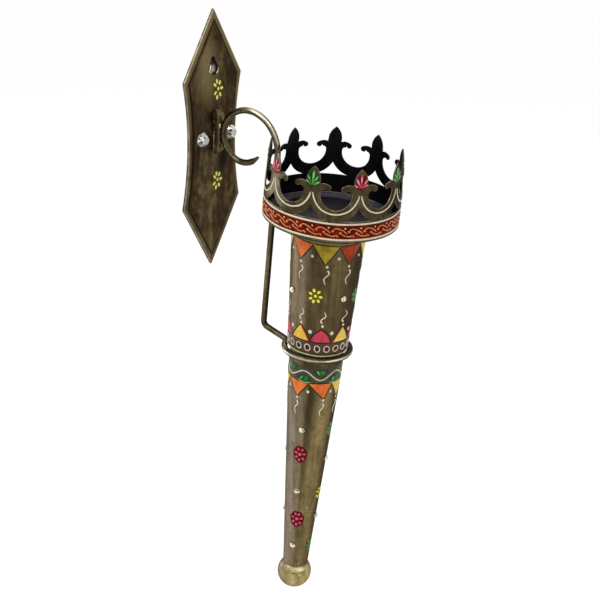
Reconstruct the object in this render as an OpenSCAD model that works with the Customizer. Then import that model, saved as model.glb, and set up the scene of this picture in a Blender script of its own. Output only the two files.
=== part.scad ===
// Wall candle holder: a torch that stands in the ring of a scrolled rod bracket.
// X runs along the wall, the wall is the plane Y = 0 with the room on the -Y side, Z is up.
// The origin is the centre of the wall plate on the wall.

/* [Sheet and rod] */
// Thickness of the sheet metal
sheet = 1.2; // [0.8:0.1:2]
// Diameter of the bracket rod
rod_d = 6; // [4:0.5:8]

/* [Wall plate] */
// Height from the centre of the plate to each point
plate_tip = 125; // [100:1:160]
// Height from the centre of the plate to the shoulders
plate_shoulder = 61; // [45:1:75]
// Half width at the shoulders
plate_half_w = 40; // [34:1:50]
// Half width at the waist
plate_waist = 33; // [26:1:38]
// Width of the flat border
plate_border = 5; // [3:0.5:8]
// Depth of the turned edge that stands on the wall
plate_edge = 2.8; // [2:0.1:5]
// Depth of the raised middle over the wall
plate_rise = 7.8; // [6:0.1:12]
// Radius of the crown across the plate
crown_across = 250; // [180:5:400]
// Radius of the crown along the plate
crown_along = 1325; // [1100:25:2000]

/* [Keyhole] */
// Radius of the round part that passes a screw head
key_r = 6; // [4.5:0.25:8]
// Width of the slot that holds the screw shank
key_slot = 5; // [3.5:0.25:7]
// Height of the round part over the centre of the plate
key_z = 70.7; // [60:0.5:80]
// Height of the slot's end over the round part
key_rise = 7.8; // [6:0.2:10]
// Sideways place of the hand punched hole
key_x = -2; // [-4:0.5:4]

/* [Bracket] */
// Distance from the wall to the rod's middle, where the curl is nearest
wall_gap = 16; // [14:0.5:22]
// Radius of the curl
curl_r = 23.8; // [18:0.2:30]
// Height of the curl's centre
curl_z = 10.6; // [0:0.2:20]
// Angle at which the curl's free end is cut
curl_end = -138; // [-160:5:-90]
// Radius of the bend over the crown
bend_r = 34.4; // [30:0.2:45]
// Angle at which the curl opens into the bend
bend_start = 46; // [30:1:60]
// Lean of the torch and of the drop rod away from the wall
tilt = 3.8; // [0:0.2:8]
// Drop of the crown's band below the top of the straight rod
crown_drop = 20.6; // [15:0.2:30]
// Radius of the elbow above the leg
elbow_r = 6; // [5:0.5:10]
// Slope of the leg that runs in under the ring
leg_slope = 11; // [6:1:20]
// Length of the chisel at the curl's free end
chisel = 8; // [4:0.5:12]
// Width of the saddle bar between plate and curl
saddle_w = 9; // [6:0.5:14]
// Height of the saddle bar
saddle_h = 44; // [30:1:60]
// Depth of the groove that the curl lies in
saddle_groove = 1.2; // [0.5:0.1:2]

/* [Crown] */
// Outer radius of the crown
crown_r = 62; // [50:1:80]
// Height of the plain band
band_h = 16; // [12:0.5:24]
// Number of fleurs-de-lis
finials = 9; // [7:1:10]
// Height of a fleur-de-lis over the band
finial_h = 48; // [42:0.5:56]
// Turn of the crown
crown_turn = 37.5; // [0:0.5:40]
// Height of the round openings' centres over the band
bay_z = 24.5; // [23:0.5:28]
// Radius of the round openings
bay_r = 13.5; // [11:0.25:14.5]
// Width of the crescent strip round an opening
crescent = 10.6; // [8:0.2:11]
// Half width of a bud
bud_w = 6.6; // [5:0.2:8]
// Thickness of the side arms
arm_t = 5.2; // [4:0.2:7]
// Reach of the side arms to the middle of their end lobes
arm_reach = 14.8; // [12:0.2:16]
// Radius of the end lobes
lobe_r = 2.7; // [2.5:0.1:3.6]

/* [Pan] */
// Radius of the pan's rolled rim
rim_r = 1.5; // [1:0.1:2.5]
// Drop of the pan's floor below the band
pan_drop = 4.4; // [3.5:0.1:8]
// Width of the pan's sloping side
pan_side = 5; // [3:0.5:8]

/* [Torch] */
// Length from the top of the band to the bottom of the sleeve
sleeve_end = 147.4; // [120:1:180]
// Outer radius of the sleeve under the pan
sleeve_top_r = 34.9; // [30:0.5:45]
// Outer radius of the sleeve's bottom edge
sleeve_bottom_r = 28.4; // [26:0.2:30]
// Outer radius of the neck tube
neck_r = 25.4; // [22:0.2:26]
// Length from the top of the band to the top of the cone
cone_start = 176.6; // [165:1:200]
// Length of the cone down to the ball
cone_len = 218; // [180:1:260]
// Outer radius of the cone's lower end
cone_bottom_r = 12.4; // [9:0.2:15]
// Radius of the ball
ball_r = 17.1; // [14:0.2:22]
// Depth that the neck tube reaches up into the sleeve
neck_spigot = 8; // [5:0.5:15]

/* [Ring] */
// Inner radius of the ring that the sleeve stands on
ring_inner = 28; // [26.5:0.1:28]
// Tip of the ring against the torch, so that the sleeve stands on its far side
ring_tip = 2; // [0:0.25:3]
// Air between parts that lift apart
play = 0.3; // [0.2:0.05:0.5]

/* [Crystals] */
// Radius of the crystals on the plate
big_crystal_r = 7; // [5:0.25:8]
// Radius of the crystals on the torch
small_crystal_r = 2.9; // [2:0.1:4]
// Height of a crystal as a share of its radius
crystal_cut = 0.4; // [0.3:0.05:0.6]
// Distance of the plate's crystals from its centre line
crystal_x = 19.8; // [16:0.2:22]
// Height of the plate's crystals over the plate's centre
crystal_z = 6; // [0:0.5:12]
// Thickness of the glue under a crystal
glue = 0.1; // [0.05:0.05:0.2]
// Place of the row round the sleeve, as a share of the way down it
sleeve_row = 0.52; // [0.3:0.01:0.7]
// Places in the front and back columns, as shares of the cone's length
front_rows = [0.245, 0.57, 0.873];
// Places in the side columns, as shares of the cone's length
side_rows = [0.415, 0.727];

/* [Hidden] */
$fn = 96;

rod_r = rod_d / 2;
far = 200;

// The plate's slanted edges lean this far from the vertical
edge_angle = atan(plate_half_w / (plate_tip - plate_shoulder));
// The waist is an arc through both shoulders
waist_sag = plate_half_w - plate_waist;
waist_r = (pow(plate_shoulder, 2) + pow(waist_sag, 2)) / (2 * waist_sag);

// Centres of the curl and of the bend, as [y, z]
curl_c = [-(wall_gap + curl_r), curl_z];
bend_c = curl_c - (bend_r - curl_r) * [cos(bend_start), sin(bend_start)];
drop_top = bend_c - bend_r * [cos(tilt), sin(tilt)];
// Overhang of the pan's rolled rim past the band
rim_over = 0.3;
// Distance from the torch axis to the middle of the drop rod
rod_off = crown_r + rim_over + play + rod_r;
// Middle of the top edge of the crown's band, as [y, z]
band_top = drop_top - rod_off * [cos(tilt), sin(tilt)] - crown_drop * [-sin(tilt), cos(tilt)];

// The sleeve's bottom edge stands on the ring's round section
ring_r = ring_inner + rod_r;
seat_x = ring_r - sleeve_bottom_r;
ring_t = sleeve_end + play + sqrt(pow(rod_r, 2) - pow(seat_x, 2));
ring_sink = ring_r * sin(ring_tip);
// The leg's middle line passes one rod below the ring's, on the wall side
leg_t = ring_t + 2 * ring_sink + rod_d;
corner_t = leg_t - (rod_off - ring_r) * tan(leg_slope);
elbow_turn = 90 - leg_slope;
elbow_cut = elbow_r * tan(elbow_turn / 2);
leg_in = ring_r - rod_r / 2;
rod_sides = 20;

// Levels below the top of the band
floor_t = band_h + pan_drop;
floor_under = floor_t + sheet;
sleeve_slope = (sleeve_top_r - sleeve_bottom_r) / (sleeve_end - floor_under);
cone_slope = (neck_r - cone_bottom_r) / cone_len;
ball_t = cone_start + cone_len + sqrt(pow(ball_r, 2) - pow(cone_bottom_r, 2));

// Crystals on the torch as [angle, distance below the top of the band]
sleeve_spots = [for (turn = [66, 154, 252, 342]) [turn, floor_under + sleeve_row * (sleeve_end - floor_under)]];
handle_spots = [for (turn = [18, 198], share = front_rows) [turn, cone_start + share * cone_len],
                for (turn = [108, 288], share = side_rows) [turn, cone_start + share * cone_len]];

// Points along an arc, and one point of it
function arc_at(c, r, a) = c + r * [cos(a), sin(a)];
function arc(c, r, from, to, steps) = [for (i = [0:steps]) arc_at(c, r, from + (to - from) * i / steps)];

// Place in the plane of the bracket of a point given by its distance from the torch axis,
// towards the wall, and its depth below the top of the band
function torch_point(off, t) = band_top + off * [cos(tilt), sin(tilt)] - t * [-sin(tilt), cos(tilt)];

function sleeve_at(t) = sleeve_top_r - (t - floor_under) * sleeve_slope;
function cone_at(t) = neck_r - (t - cone_start) * cone_slope;

// Places the torch: its axis is Z, and the top of the crown's band is at Z = 0
module in_torch() {
    translate([0, band_top[0], band_top[1]]) rotate([tilt, 0, 0]) children();
}

// Stands an outline drawn in X and Z on the wall, reaching out by depth
module off_wall(depth) {
    rotate([90, 0, 0]) linear_extrude(depth) children();
}

// Outline of the plate, drawn in by a margin
module plate_outline(margin) {
    point = plate_tip - margin / sin(edge_angle);
    side = point * tan(edge_angle);
    difference() {
        polygon([[0, point], [side, 0], [0, -point], [-side, 0]]);
        for (s = [-1, 1]) translate([s * (plate_waist + waist_r), 0]) circle(waist_r + margin, $fn = 360);
    }
}

// Everything behind the crowned face of the plate, drawn in by a margin
module behind_crown(margin) {
    sweep = 14;
    translate([0, crown_along - plate_rise + margin, 0])
        rotate([-90, 0, 0]) rotate([0, 90, 0]) rotate([0, 0, -sweep / 2])
            rotate_extrude(angle = sweep, $fn = 720)
                translate([crown_along - crown_across, 0])
                    intersection() {
                        circle(crown_across, $fn = 720);
                        translate([crown_across - 3 * plate_rise, -plate_half_w])
                            square([3 * plate_rise, 2 * plate_half_w]);
                    }
}

// The plate as a solid block, with its border and its raised middle
module plate_block(margin) {
    off_wall(plate_edge - margin) plate_outline(margin);
    intersection() {
        off_wall(2 * plate_rise) plate_outline(plate_border + margin);
        behind_crown(margin);
    }
}

module keyhole() {
    translate([key_x, 0, key_z]) {
        off_wall(2 * plate_rise) circle(key_r);
        off_wall(2 * plate_rise) translate([0, key_rise - key_slot / 2]) circle(key_slot / 2);
        off_wall(2 * plate_rise) translate([-key_slot / 2, 0]) square([key_slot, key_rise - key_slot / 2]);
    }
}

module wall_plate() {
    color("#6b5c3c") difference() {
        plate_block(0);
        translate([0, 0.01, 0]) plate_block(sheet);
        keyhole();
    }
}

// A cut glass crystal standing on Z = 0
module crystal(r) {
    h = r * 2 * crystal_cut;
    rotate_extrude($fn = 48) polygon([[0, 0], [r, 0], [r, h * 0.25], [r * 0.55, h], [0, h]]);
}

module plate_crystals() {
    lean = asin(crystal_x / crown_across);
    back = plate_rise - crown_across * (1 - cos(lean)) - crown_along * (1 - cos(asin(crystal_z / crown_along)));
    color("#dfe6ea") for (s = [-1, 1])
        translate([s * crystal_x, -back, crystal_z]) rotate([90, 0, 0]) rotate([0, s * lean, 0])
            translate([0, 0, glue]) crystal(big_crystal_r);
}

// The curl alone, as the saddle bar has to take it
module curl() {
    translate([0, curl_c[0], curl_c[1]]) rotate([90, 0, 90]) rotate([0, 0, curl_end])
        rotate_extrude(angle = bend_start - curl_end, $fn = 180)
            translate([curl_r, 0]) circle(rod_r, $fn = 48);
}

// Bar with sloping ends between the plate and the curl, which lies in a groove of it
module arm_saddle() {
    front = wall_gap - rod_r + saddle_groove;
    chamfer = 3;
    high = curl_z + saddle_h / 2;
    low = curl_z - saddle_h / 2;
    back = arc([crown_along - plate_rise, 0], crown_along, 180 - asin(high / crown_along),
               180 - asin(low / crown_along), 8);
    color("#5f5236") difference() {
        translate([-saddle_w / 2, 0, 0]) rotate([90, 0, 90]) linear_extrude(saddle_w)
            polygon(concat(back, [[-front + chamfer, low], [-front, low + chamfer],
                                  [-front, high - chamfer], [-front + chamfer, high]]));
        curl();
    }
}

module ring() {
    translate([0, 0, -ring_t - ring_sink]) rotate([-ring_tip, 0, 0])
        rotate_extrude($fn = 120) translate([ring_r, 0]) circle(rod_r, $fn = 48);
}

// Middle line of the rod in the plane of the bracket, from the cut end to the ring
function rod_path() = concat(
    arc(curl_c, curl_r, curl_end, bend_start, 28),
    [for (p = arc(bend_c, bend_r, bend_start, 180 + tilt, 22)) if (p != arc_at(bend_c, bend_r, bend_start)) p],
    arc(torch_point(rod_off - elbow_r, corner_t - elbow_cut), elbow_r, tilt, tilt - elbow_turn, 8),
    [torch_point(leg_in, leg_t)]);

// Unit vector along the path at one of its points
function heading(path, i) =
    let (d = path[min(i + 1, len(path) - 1)] - path[max(i - 1, 0)]) d / norm(d);

// Half thickness of the rod in the plane of the bracket: the free end is hammered to a chisel
function rod_depth(path, i) =
    rod_r * min(1, 0.45 + 0.55 * norm(path[i] - path[0]) / chisel);

module scroll_arm() {
    path = rod_path();
    n = len(path);
    points = [for (i = [0:n - 1])
        let (h = heading(path, i), deep = rod_depth(path, i))
            for (k = [0:rod_sides - 1])
                let (a = 360 * k / rod_sides, off = path[i] + deep * sin(a) * [-h[1], h[0]])
                    [rod_r * cos(a), off[0], off[1]]];
    sides = [for (i = [0:n - 2], k = [0:rod_sides - 1])
        let (a = i * rod_sides + k, b = i * rod_sides + (k + 1) % rod_sides)
            each [[a, b, b + rod_sides], [a, b + rod_sides, a + rod_sides]]];
    color("#57503f") polyhedron(concat(points), concat(sides,
        [[for (k = [0:rod_sides - 1]) rod_sides - 1 - k]],
        [[for (k = [0:rod_sides - 1]) (n - 1) * rod_sides + k]]));
}

module cradle_ring() {
    color("#57503f") in_torch() ring();
}

// Stands an outline in the wall of the crown, at one angle
module radial(angle) {
    rotate([0, 0, angle]) translate([crown_r - 5, 0, 0]) rotate([90, 0, 90]) linear_extrude(10) children();
}

// Half of the distance between two fleurs-de-lis, seen straight on
half_bay = crown_r * sin(180 / finials);

// Right half of a fleur-de-lis, from the foot of its stem to its tip
function fleur_side() =
    let (stem = half_bay - bay_r,
         arm_low = bay_z + 4,
         arm_top = arm_low + arm_t,
         lobe = [arm_reach, arm_top - lobe_r - 1],
         bud_half = 12,
         bud_z = finial_h - bud_half,
         ogive = (pow(bud_half, 2) / bud_w + bud_w) / 2)
    concat([[stem, bay_z - 4], [stem, bay_z]],
           arc([stem + 3, arm_low - 3], 3, 172, 80, 6),
           arc(lobe, lobe_r, 175, 420, 12),
           [[arm_reach - 1.4, arm_top], [arm_reach - 4.5, arm_top + 0.5], [stem, arm_top]],
           arc([bud_w - ogive, bud_z], ogive, -10, 53, 9),
           arc([0, finial_h - 0.9], 0.9, 20, 90, 3));

// Stem, bud and curled side arms of one fleur-de-lis
module fleur_outline() {
    side = fleur_side();
    n = len(side);
    polygon(concat(side, [for (i = [2:n]) [-side[n - i][0], side[n - i][1]]]));
}

// Pointed arch under a fleur-de-lis, left between two crescents and the band
module arch_outline() {
    foot = 1.2;
    reach = bay_r + crescent;
    low = asin((bay_z - foot) / reach);
    high = acos(half_bay / reach);
    side = arc([half_bay, bay_z], reach, 180 + low, 180 + high, 8);
    n = len(side);
    polygon(concat(side, [for (i = [2:n]) [-side[n - i][0], side[n - i][1]]]));
}

module crown_gallery() {
    step = 360 / finials;
    top = finial_h + 1;
    low_top = bay_z - 1;
    color("#665b3e") in_torch() intersection() {
        translate([0, 0, -band_h]) difference() {
            cylinder(r = crown_r, h = band_h + top, $fn = 180);
            translate([0, 0, -1]) cylinder(r = crown_r - sheet, h = band_h + top + 2, $fn = 180);
        }
        union() {
            difference() {
                translate([0, 0, -band_h - 2]) cylinder(r = crown_r + 2, h = band_h + low_top + 2);
                translate([0, 0, -band_h - 3]) cylinder(r = crown_r - 3, h = band_h + low_top + 4);
                for (i = [0:finials - 1]) {
                    radial(crown_turn + (i + 0.5) * step) translate([0, bay_z]) circle(bay_r);
                    radial(crown_turn + i * step) arch_outline();
                }
            }
            for (i = [0:finials - 1]) radial(crown_turn + i * step) fleur_outline();
        }
    }
}

// Shallow pan with a rolled rim: the band stands on the rim, a candle on the floor
module drip_pan() {
    rim_x = crown_r - rim_r + rim_over;
    rim_z = -band_h - 0.8 * rim_r;
    flat = asin(0.8);
    color("#453f38") in_torch() rotate_extrude($fn = 180)
        polygon(concat([[0, -floor_t], [rim_x - rim_r - pan_side, -floor_t]],
                       arc([rim_x, rim_z], rim_r, 180, flat + 180 - 2 * flat, 6),
                       arc([rim_x, rim_z], rim_r, flat, -100, 20),
                       [[rim_x - pan_side, -floor_under], [0, -floor_under]]));
}

// Tapered tube whose lower edge is turned in to meet the neck
module torch_sleeve() {
    color("#6e6044") in_torch() rotate_extrude($fn = 120)
        polygon([[sleeve_top_r, -floor_under], [sleeve_bottom_r, -sleeve_end], [neck_r, -sleeve_end],
                 [neck_r, sheet - sleeve_end], [sleeve_bottom_r - sheet, sheet - sleeve_end],
                 [sleeve_top_r - sheet, -floor_under]]);
}

module neck_tube() {
    color("#665b46") in_torch() translate([0, 0, -cone_start]) difference() {
        cylinder(r = neck_r, h = cone_start - sleeve_end + neck_spigot);
        translate([0, 0, -1]) cylinder(r = neck_r - sheet, h = cone_start - sleeve_end + neck_spigot + 2);
    }
}

module ball(r) {
    translate([0, 0, -ball_t]) sphere(r);
}

module handle_cone() {
    end = cone_len + 2;
    end_r = neck_r - end * cone_slope;
    color("#6e6044") in_torch() difference() {
        rotate_extrude($fn = 120)
            polygon([[neck_r, -cone_start], [end_r, -cone_start - end],
                     [end_r - sheet, -cone_start - end], [neck_r - sheet, -cone_start]]);
        ball(ball_r);
    }
}

// Half of the hollow ball, above or below its seam
module half_ball(side) {
    in_torch() translate([0, 0, -ball_t]) rotate_extrude($fn = 96) intersection() {
        difference() {
            circle(ball_r);
            circle(ball_r - sheet);
        }
        translate([0, side > 0 ? 0 : -ball_r - 1]) square(ball_r + 1);
    }
}

module ball_upper() {
    color("#a8965f") half_ball(1);
}

module ball_lower() {
    color("#a08e58") half_ball(-1);
}

// A crystal on a tapered tube, at [angle, distance down] and at a given radius
module crystal_on(spot, r, slope) {
    in_torch() rotate([0, 0, spot[0]]) translate([r, 0, -spot[1]]) rotate([0, 90 + atan(slope), 0])
        translate([0, 0, glue]) crystal(small_crystal_r);
}

module sleeve_crystals() {
    color("#dfe6ea") for (s = sleeve_spots) crystal_on(s, sleeve_at(s[1]), sleeve_slope);
}

module handle_crystals() {
    color("#dfe6ea") for (s = handle_spots) crystal_on(s, cone_at(s[1]), cone_slope);
}

wall_plate();
plate_crystals();
arm_saddle();
scroll_arm();
cradle_ring();
crown_gallery();
drip_pan();
torch_sleeve();
neck_tube();
handle_cone();
ball_upper();
ball_lower();
sleeve_crystals();
handle_crystals();
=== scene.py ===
"""Wall candle holder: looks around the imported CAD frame. Sizes in the making are in millimetres."""

import random
from math import acos, asin, atan, atan2, ceil, cos, degrees, dist, exp, hypot
from math import pi, radians, sin, sqrt, tan, tanh

import bmesh
import bpy
import numpy as np
from mathutils import Matrix, Vector
from mathutils.geometry import delaunay_2d_cdt


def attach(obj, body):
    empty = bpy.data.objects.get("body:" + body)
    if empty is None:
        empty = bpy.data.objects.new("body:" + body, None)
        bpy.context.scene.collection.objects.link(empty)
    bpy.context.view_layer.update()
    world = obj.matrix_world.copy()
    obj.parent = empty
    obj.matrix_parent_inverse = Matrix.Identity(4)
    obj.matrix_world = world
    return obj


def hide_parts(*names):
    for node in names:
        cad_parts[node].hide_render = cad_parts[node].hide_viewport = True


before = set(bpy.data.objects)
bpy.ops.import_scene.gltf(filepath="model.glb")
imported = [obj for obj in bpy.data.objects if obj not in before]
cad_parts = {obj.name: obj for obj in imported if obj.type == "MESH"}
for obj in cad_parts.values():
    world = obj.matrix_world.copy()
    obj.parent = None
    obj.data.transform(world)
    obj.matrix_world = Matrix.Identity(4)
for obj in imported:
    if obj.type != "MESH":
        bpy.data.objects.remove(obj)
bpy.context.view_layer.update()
rng = random.Random(7)
scene = bpy.context.scene

# Sizes that the CAD source uses too
TILT = radians(3.8)
BAND_TOP = (-145.578, -24.207)
SHEET = 1.2
CROWN_R = 62.0
BAND_H = 16.0
FINIALS = 9
FINIAL_H = 48.0
CROWN_TURN = 37.5
BAY_Z = 24.5
BAY_R = 13.5
CRESCENT = 10.6
BUD_W = 6.6
ARM_T = 5.2
ARM_REACH = 14.8
LOBE_R = 2.7
RIM_R = 1.5
RIM_OVER = 0.3
PAN_SIDE = 5.0
FLOOR_T = 20.4
FLOOR_UNDER = 21.6
SLEEVE_END = 147.4
SLEEVE_TOP_R = 34.9
SLEEVE_BOTTOM_R = 28.4
NECK_R = 25.4
CONE_START = 176.6
CONE_LEN = 218.0
CONE_BOTTOM_R = 12.4
BALL_R = 17.1
BALL_T = CONE_START + CONE_LEN + sqrt(BALL_R**2 - CONE_BOTTOM_R**2)
ROD_R = 3.0
RING_R = 31.0
RING_TIP = radians(2)
RING_T = SLEEVE_END + 0.3 + sqrt(ROD_R**2 - (RING_R - SLEEVE_BOTTOM_R) ** 2)
RING_SINK = RING_R * sin(RING_TIP)
ROD_OFF = CROWN_R + RIM_OVER + 0.3 + ROD_R
TIP, SHOULDER, HALF_W, WAIST = 125.0, 61.0, 40.0, 33.0
BORDER, EDGE, PLATE_RISE = 5.0, 2.8, 7.8
BULGE_X_R, BULGE_Z_R = 250.0, 1325.0
CURL_OUT, CURL_Z, CURL_R, BEND_R = 39.8, 10.6, 23.8, 34.4
STONE_X, STONE_Z, STONE_R = 19.8, 6.0, 7.0

# Sizes that follow from them, and how deep the rim of a coat of paint sits in the metal
LEAN_IN = atan(HALF_W / (TIP - SHOULDER))
SAG = HALF_W - WAIST
WAIST_R = (SHOULDER**2 + SAG**2) / (2 * SAG)
BAY = CROWN_R * pi / FINIALS
HALF_BAY = CROWN_R * sin(pi / FINIALS)
SINK = 0.03


# Places
def torch(x, y, z):
    """A point of the torch's own frame: its axis is z and the top of the crown's band is z = 0."""
    c, s = cos(TILT), sin(TILT)
    return (x, BAND_TOP[0] + y * c - z * s, BAND_TOP[1] + y * s + z * c)


def round_torch(radius):
    """Maps (degrees, distance down, height over the surface) on the torch to a place."""

    def place(a, t, h=0.0):
        r = radius(t) + h
        return torch(r * cos(radians(a)), r * sin(radians(a)), -t)

    place.radius = radius
    return place


def crown_r(t):
    """The crown's cut work leans in over the band."""
    return CROWN_R - 1.6 * (max(0.0, -t) / FINIAL_H) ** 1.6


def sleeve_r(t):
    return SLEEVE_TOP_R - (t - FLOOR_UNDER) * (SLEEVE_TOP_R - SLEEVE_BOTTOM_R) / (SLEEVE_END - FLOOR_UNDER)


def cone_r(t):
    return NECK_R - (t - CONE_START) * (NECK_R - CONE_BOTTOM_R) / CONE_LEN


on_crown = round_torch(crown_r)
on_sleeve = round_torch(sleeve_r)
on_neck = round_torch(lambda t: NECK_R)
on_cone = round_torch(cone_r)


def plate_depth(x, z):
    return PLATE_RISE - x * x / (2 * BULGE_X_R) - z * z / (2 * BULGE_Z_R)


def on_plate(x, z, h=0.0):
    return (x, -plate_depth(x, z) - h, z)


def local(place, a, t):
    """Maps millimetres right and up of one spot on a round surface to a place."""
    per = degrees(1 / place.radius(t))
    return lambda u, v, h=0.0: place(a + u * per, t - v, h)


def local_plate(x, z):
    return lambda u, v, h=0.0: on_plate(x + u, z + v, h)


# Numbers
def turns(n):
    return [2 * pi * k / n for k in range(n)]


def flat(rows):
    return [p for row in rows for p in row]


def clamp(x):
    return max(0.0, min(1.0, x))


def bell(x, width):
    return exp(-((x / width) ** 2))


def dome(s):
    """Height of a dome over its middle's, from -1 to 1 across it."""
    return sqrt(max(0.0, 1 - s * s))


def unit(v):
    return v / (np.linalg.norm(v) + 1e-9)


def jit(amount):
    return rng.uniform(-amount, amount)


def around(*pairs):
    """A value that changes round the torch, from (degrees, value) pairs."""
    turn, values = zip(*pairs)
    return lambda a, t=0.0: float(np.interp(a, turn, values, period=360))


# Colour
def linear(c):
    """One channel of 0 to 255 as a shader takes it."""
    c /= 255
    return c / 12.92 if c < 0.04045 else ((c + 0.055) / 1.055) ** 2.4


def srgb(tone):
    return (*map(linear, tone), 1.0)


class Shader:
    """A principled material built node by node; its patterns are turned with the torch."""

    def __init__(self, name, turn=0.0, **sockets):
        self.mat = bpy.data.materials.new(name)
        self.mat.use_nodes = True
        self.tree = self.mat.node_tree
        self.bsdf = self.tree.nodes["Principled BSDF"]
        self.turn = turn
        for key, value in sockets.items():
            self.set(key.replace("_", " "), value)

    def put(self, socket, value):
        if isinstance(value, bpy.types.NodeSocket):
            self.tree.links.new(value, socket)
        else:
            socket.default_value = value

    def set(self, key, value):
        self.put(self.bsdf.inputs[key], value)

    def add(self, kind, inputs, **props):
        node = self.tree.nodes.new("ShaderNode" + kind)
        for key, value in props.items():
            setattr(node, key, value)
        for key, value in inputs.items():
            self.put(node.inputs[key], value)
        return node

    def noise(self, stretch, scale=1.0, detail=4.0, rough=0.55, warp=0.0):
        where = self.add("TexCoord", {}).outputs["Object"]
        laid = {"Vector": where, "Scale": stretch, "Rotation": (self.turn, 0, 0)}
        shape = {"Scale": scale, "Detail": detail, "Roughness": rough, "Distortion": warp}
        shape["Vector"] = self.add("Mapping", laid).outputs[0]
        return self.add("TexNoise", shape).outputs["Fac"]

    def ramp(self, fac, *stops):
        node = self.add("ValToRGB", {"Fac": fac})
        elements = node.color_ramp.elements
        while len(elements) < len(stops):
            elements.new(0.5)
        for element, (at, colour) in zip(elements, stops):
            element.position = at
            element.color = colour if isinstance(colour, tuple) else (colour, colour, colour, 1)
        return node.outputs["Color"]

    def mix(self, fac, a, b, how="MIX"):
        return self.add("Mix", {"Factor": fac, 6: a, 7: b}, data_type="RGBA", blend_type=how).outputs[2]

    def scaled_add(self, value, share, key):
        """A share of a value over a number that the mesh carries."""
        number = self.add("Attribute", {}, attribute_name=key).outputs["Fac"]
        return self.add("Math", {0: value, 1: share, 2: number}, operation="MULTIPLY_ADD").outputs[0]

    def bump(self, height, strength):
        node = self.add("Bump", {"Height": height, "Strength": strength, "Distance": 0.0002})
        self.set("Normal", node.outputs[0])


def aged_metal(
    name, dark, base, light, pale, turn=0.0, streak=(240, 240, 9), metallic=0.94, rough=(0.3, 0.46),
    inside=None, bright=None, edge=(0.34, 0.31, 0.25), mottle=0.3,
):
    """Brushed sheet or rod under a black wash: long streaks, clouds, worn edges, dark lines, painted shade,
    painted highlights and a painted sheen.
    """
    dark, base, light, pale = map(srgb, (dark, base, light, pale))
    thin_coat = {"Coat_Weight": 0.08, "Coat_Roughness": 0.18}
    sh = Shader(name, turn, Metallic=metallic, Specular_Tint=(*edge, 1), **thin_coat)
    runs = sh.noise(streak, 1.0, 3.0, 0.6)
    fine = sh.noise((1700, 1700, 45), 1.0, 2.0, 0.6)
    cloud = sh.noise((1, 1, 0.5), 30.0, 4.0, 0.62, 0.5)
    blotches = sh.noise((1, 1, 0.8), 170.0, 5.0, 0.65, 0.3)
    pits = sh.noise((1, 1, 0.7), 420.0, 2.0, 0.5, 0.4)
    broken = sh.mix(0.5, runs, sh.noise((1, 1, 0.6), 110.0, 4.0, 0.65))

    def ragged(key, share=0.6):
        """A number of the mesh as a mask whose edge follows the streaks."""
        span = {"From Min": 0.75 * share, "From Max": 0.42 * share + 0.95}
        return sh.add("MapRange", {"Value": sh.scaled_add(broken, share, key), **span}).outputs[0]

    def over(fac, *stops):
        """The colour so far, multiplied by a ramp."""
        return sh.mix(fac, colour, sh.ramp(*stops), "MULTIPLY")

    colour = sh.ramp(sh.mix(0.62, runs, cloud), (0.36, dark), (0.5, base), (0.64, light))
    # Painted sheen, laid on where the mesh asks for painted light
    browner = (*(0.62 * p + 0.12 * b for p, b in zip(pale[:3], base[:3])), 1.0)
    lacquer = sh.ramp(sh.mix(0.35, runs, cloud), (0.4, browner), (0.56, pale))
    colour = sh.mix(ragged("pale"), colour, lacquer)
    colour = over(mottle, blotches, (0.36, 0.55), (0.5, 1.0), (0.64, 1.5))
    colour = over(0.5, fine, (0.3, 0.76), (0.7, 1.0))
    colour = over(0.8, pits, (0.27, 0.35), (0.36, 1.0), (0.68, 1.0), (0.76, 1.5))
    # Painted shade, and dark lines such as a seam, where the mesh asks
    sooty = ragged("grime")
    colour = sh.mix(sooty, colour, (*(c * 0.6 for c in dark[:3]), 1.0))
    # Worn metal and painted highlights, where the mesh asks
    colour = sh.mix(ragged("wear", 0.5), colour, srgb(bright) if bright else light)
    if inside:
        patchy = sh.ramp(sh.mix(0.5, blotches, cloud), (0.38, 0.66), (0.62, 1.16))
        lining = sh.mix(1.0, srgb(inside), patchy, "MULTIPLY")
        colour = sh.mix(sh.add("Attribute", {}, attribute_name="dark").outputs["Fac"], colour, lining)
    sh.set("Base Color", colour)
    gloss = sh.ramp(sh.mix(0.5, fine, cloud), (0.35, rough[0]), (0.65, rough[1]))
    sh.set("Roughness", sh.mix(sooty, gloss, (0.66, 0.66, 0.66, 1)))
    sh.bump(sh.mix(0.35, fine, cloud), 0.25)
    return sh.mat


def enamel(name, colour, other=0.78, rough=0.34, spread=170.0, gloss=0.14):
    """Thick hand-laid paint that runs into a second colour, or into a darker share of its own."""
    colour = srgb(colour)
    second = srgb(other) if isinstance(other, tuple) else (*(c * other for c in colour[:3]), 1.0)
    sh = Shader(name, Roughness=rough, Specular_IOR_Level=gloss)
    cloud = sh.noise((1, 1, 0.6), spread, 3.0, 0.6, 0.6)
    grain = sh.noise((1, 1, 1), 900.0, 2.0)
    sh.set("Base Color", sh.ramp(cloud, (0.38, second), (0.58, colour)))
    sh.set("Roughness", sh.ramp(grain, (0.3, rough), (0.7, rough + 0.12)))
    sh.bump(sh.mix(0.5, grain, cloud), 0.16)
    return sh.mat


def cut_glass(name, tint=(1.0, 1.0, 1.0)):
    """Foil-backed glass; each facet carries a painted reflection tone, the same from any side."""
    sh = Shader(name, Metallic=0.3, Roughness=0.07, Coat_Weight=0.6, Coat_Roughness=0.03)
    tones = ((0.0, (38, 40, 38)), (0.3, (116, 118, 112)), (0.6, (210, 208, 198)), (1.0, (255, 251, 240)))
    stops = [(at, tuple(c * k for c, k in zip(srgb(tone), (*tint, 1.0)))) for at, tone in tones]
    smear = sh.noise((1, 1, 1), 600.0, 2.0, 0.5)
    sh.set("Base Color", sh.ramp(sh.scaled_add(smear, 0.24, "facet"), *stops))
    return sh.mat


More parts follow.
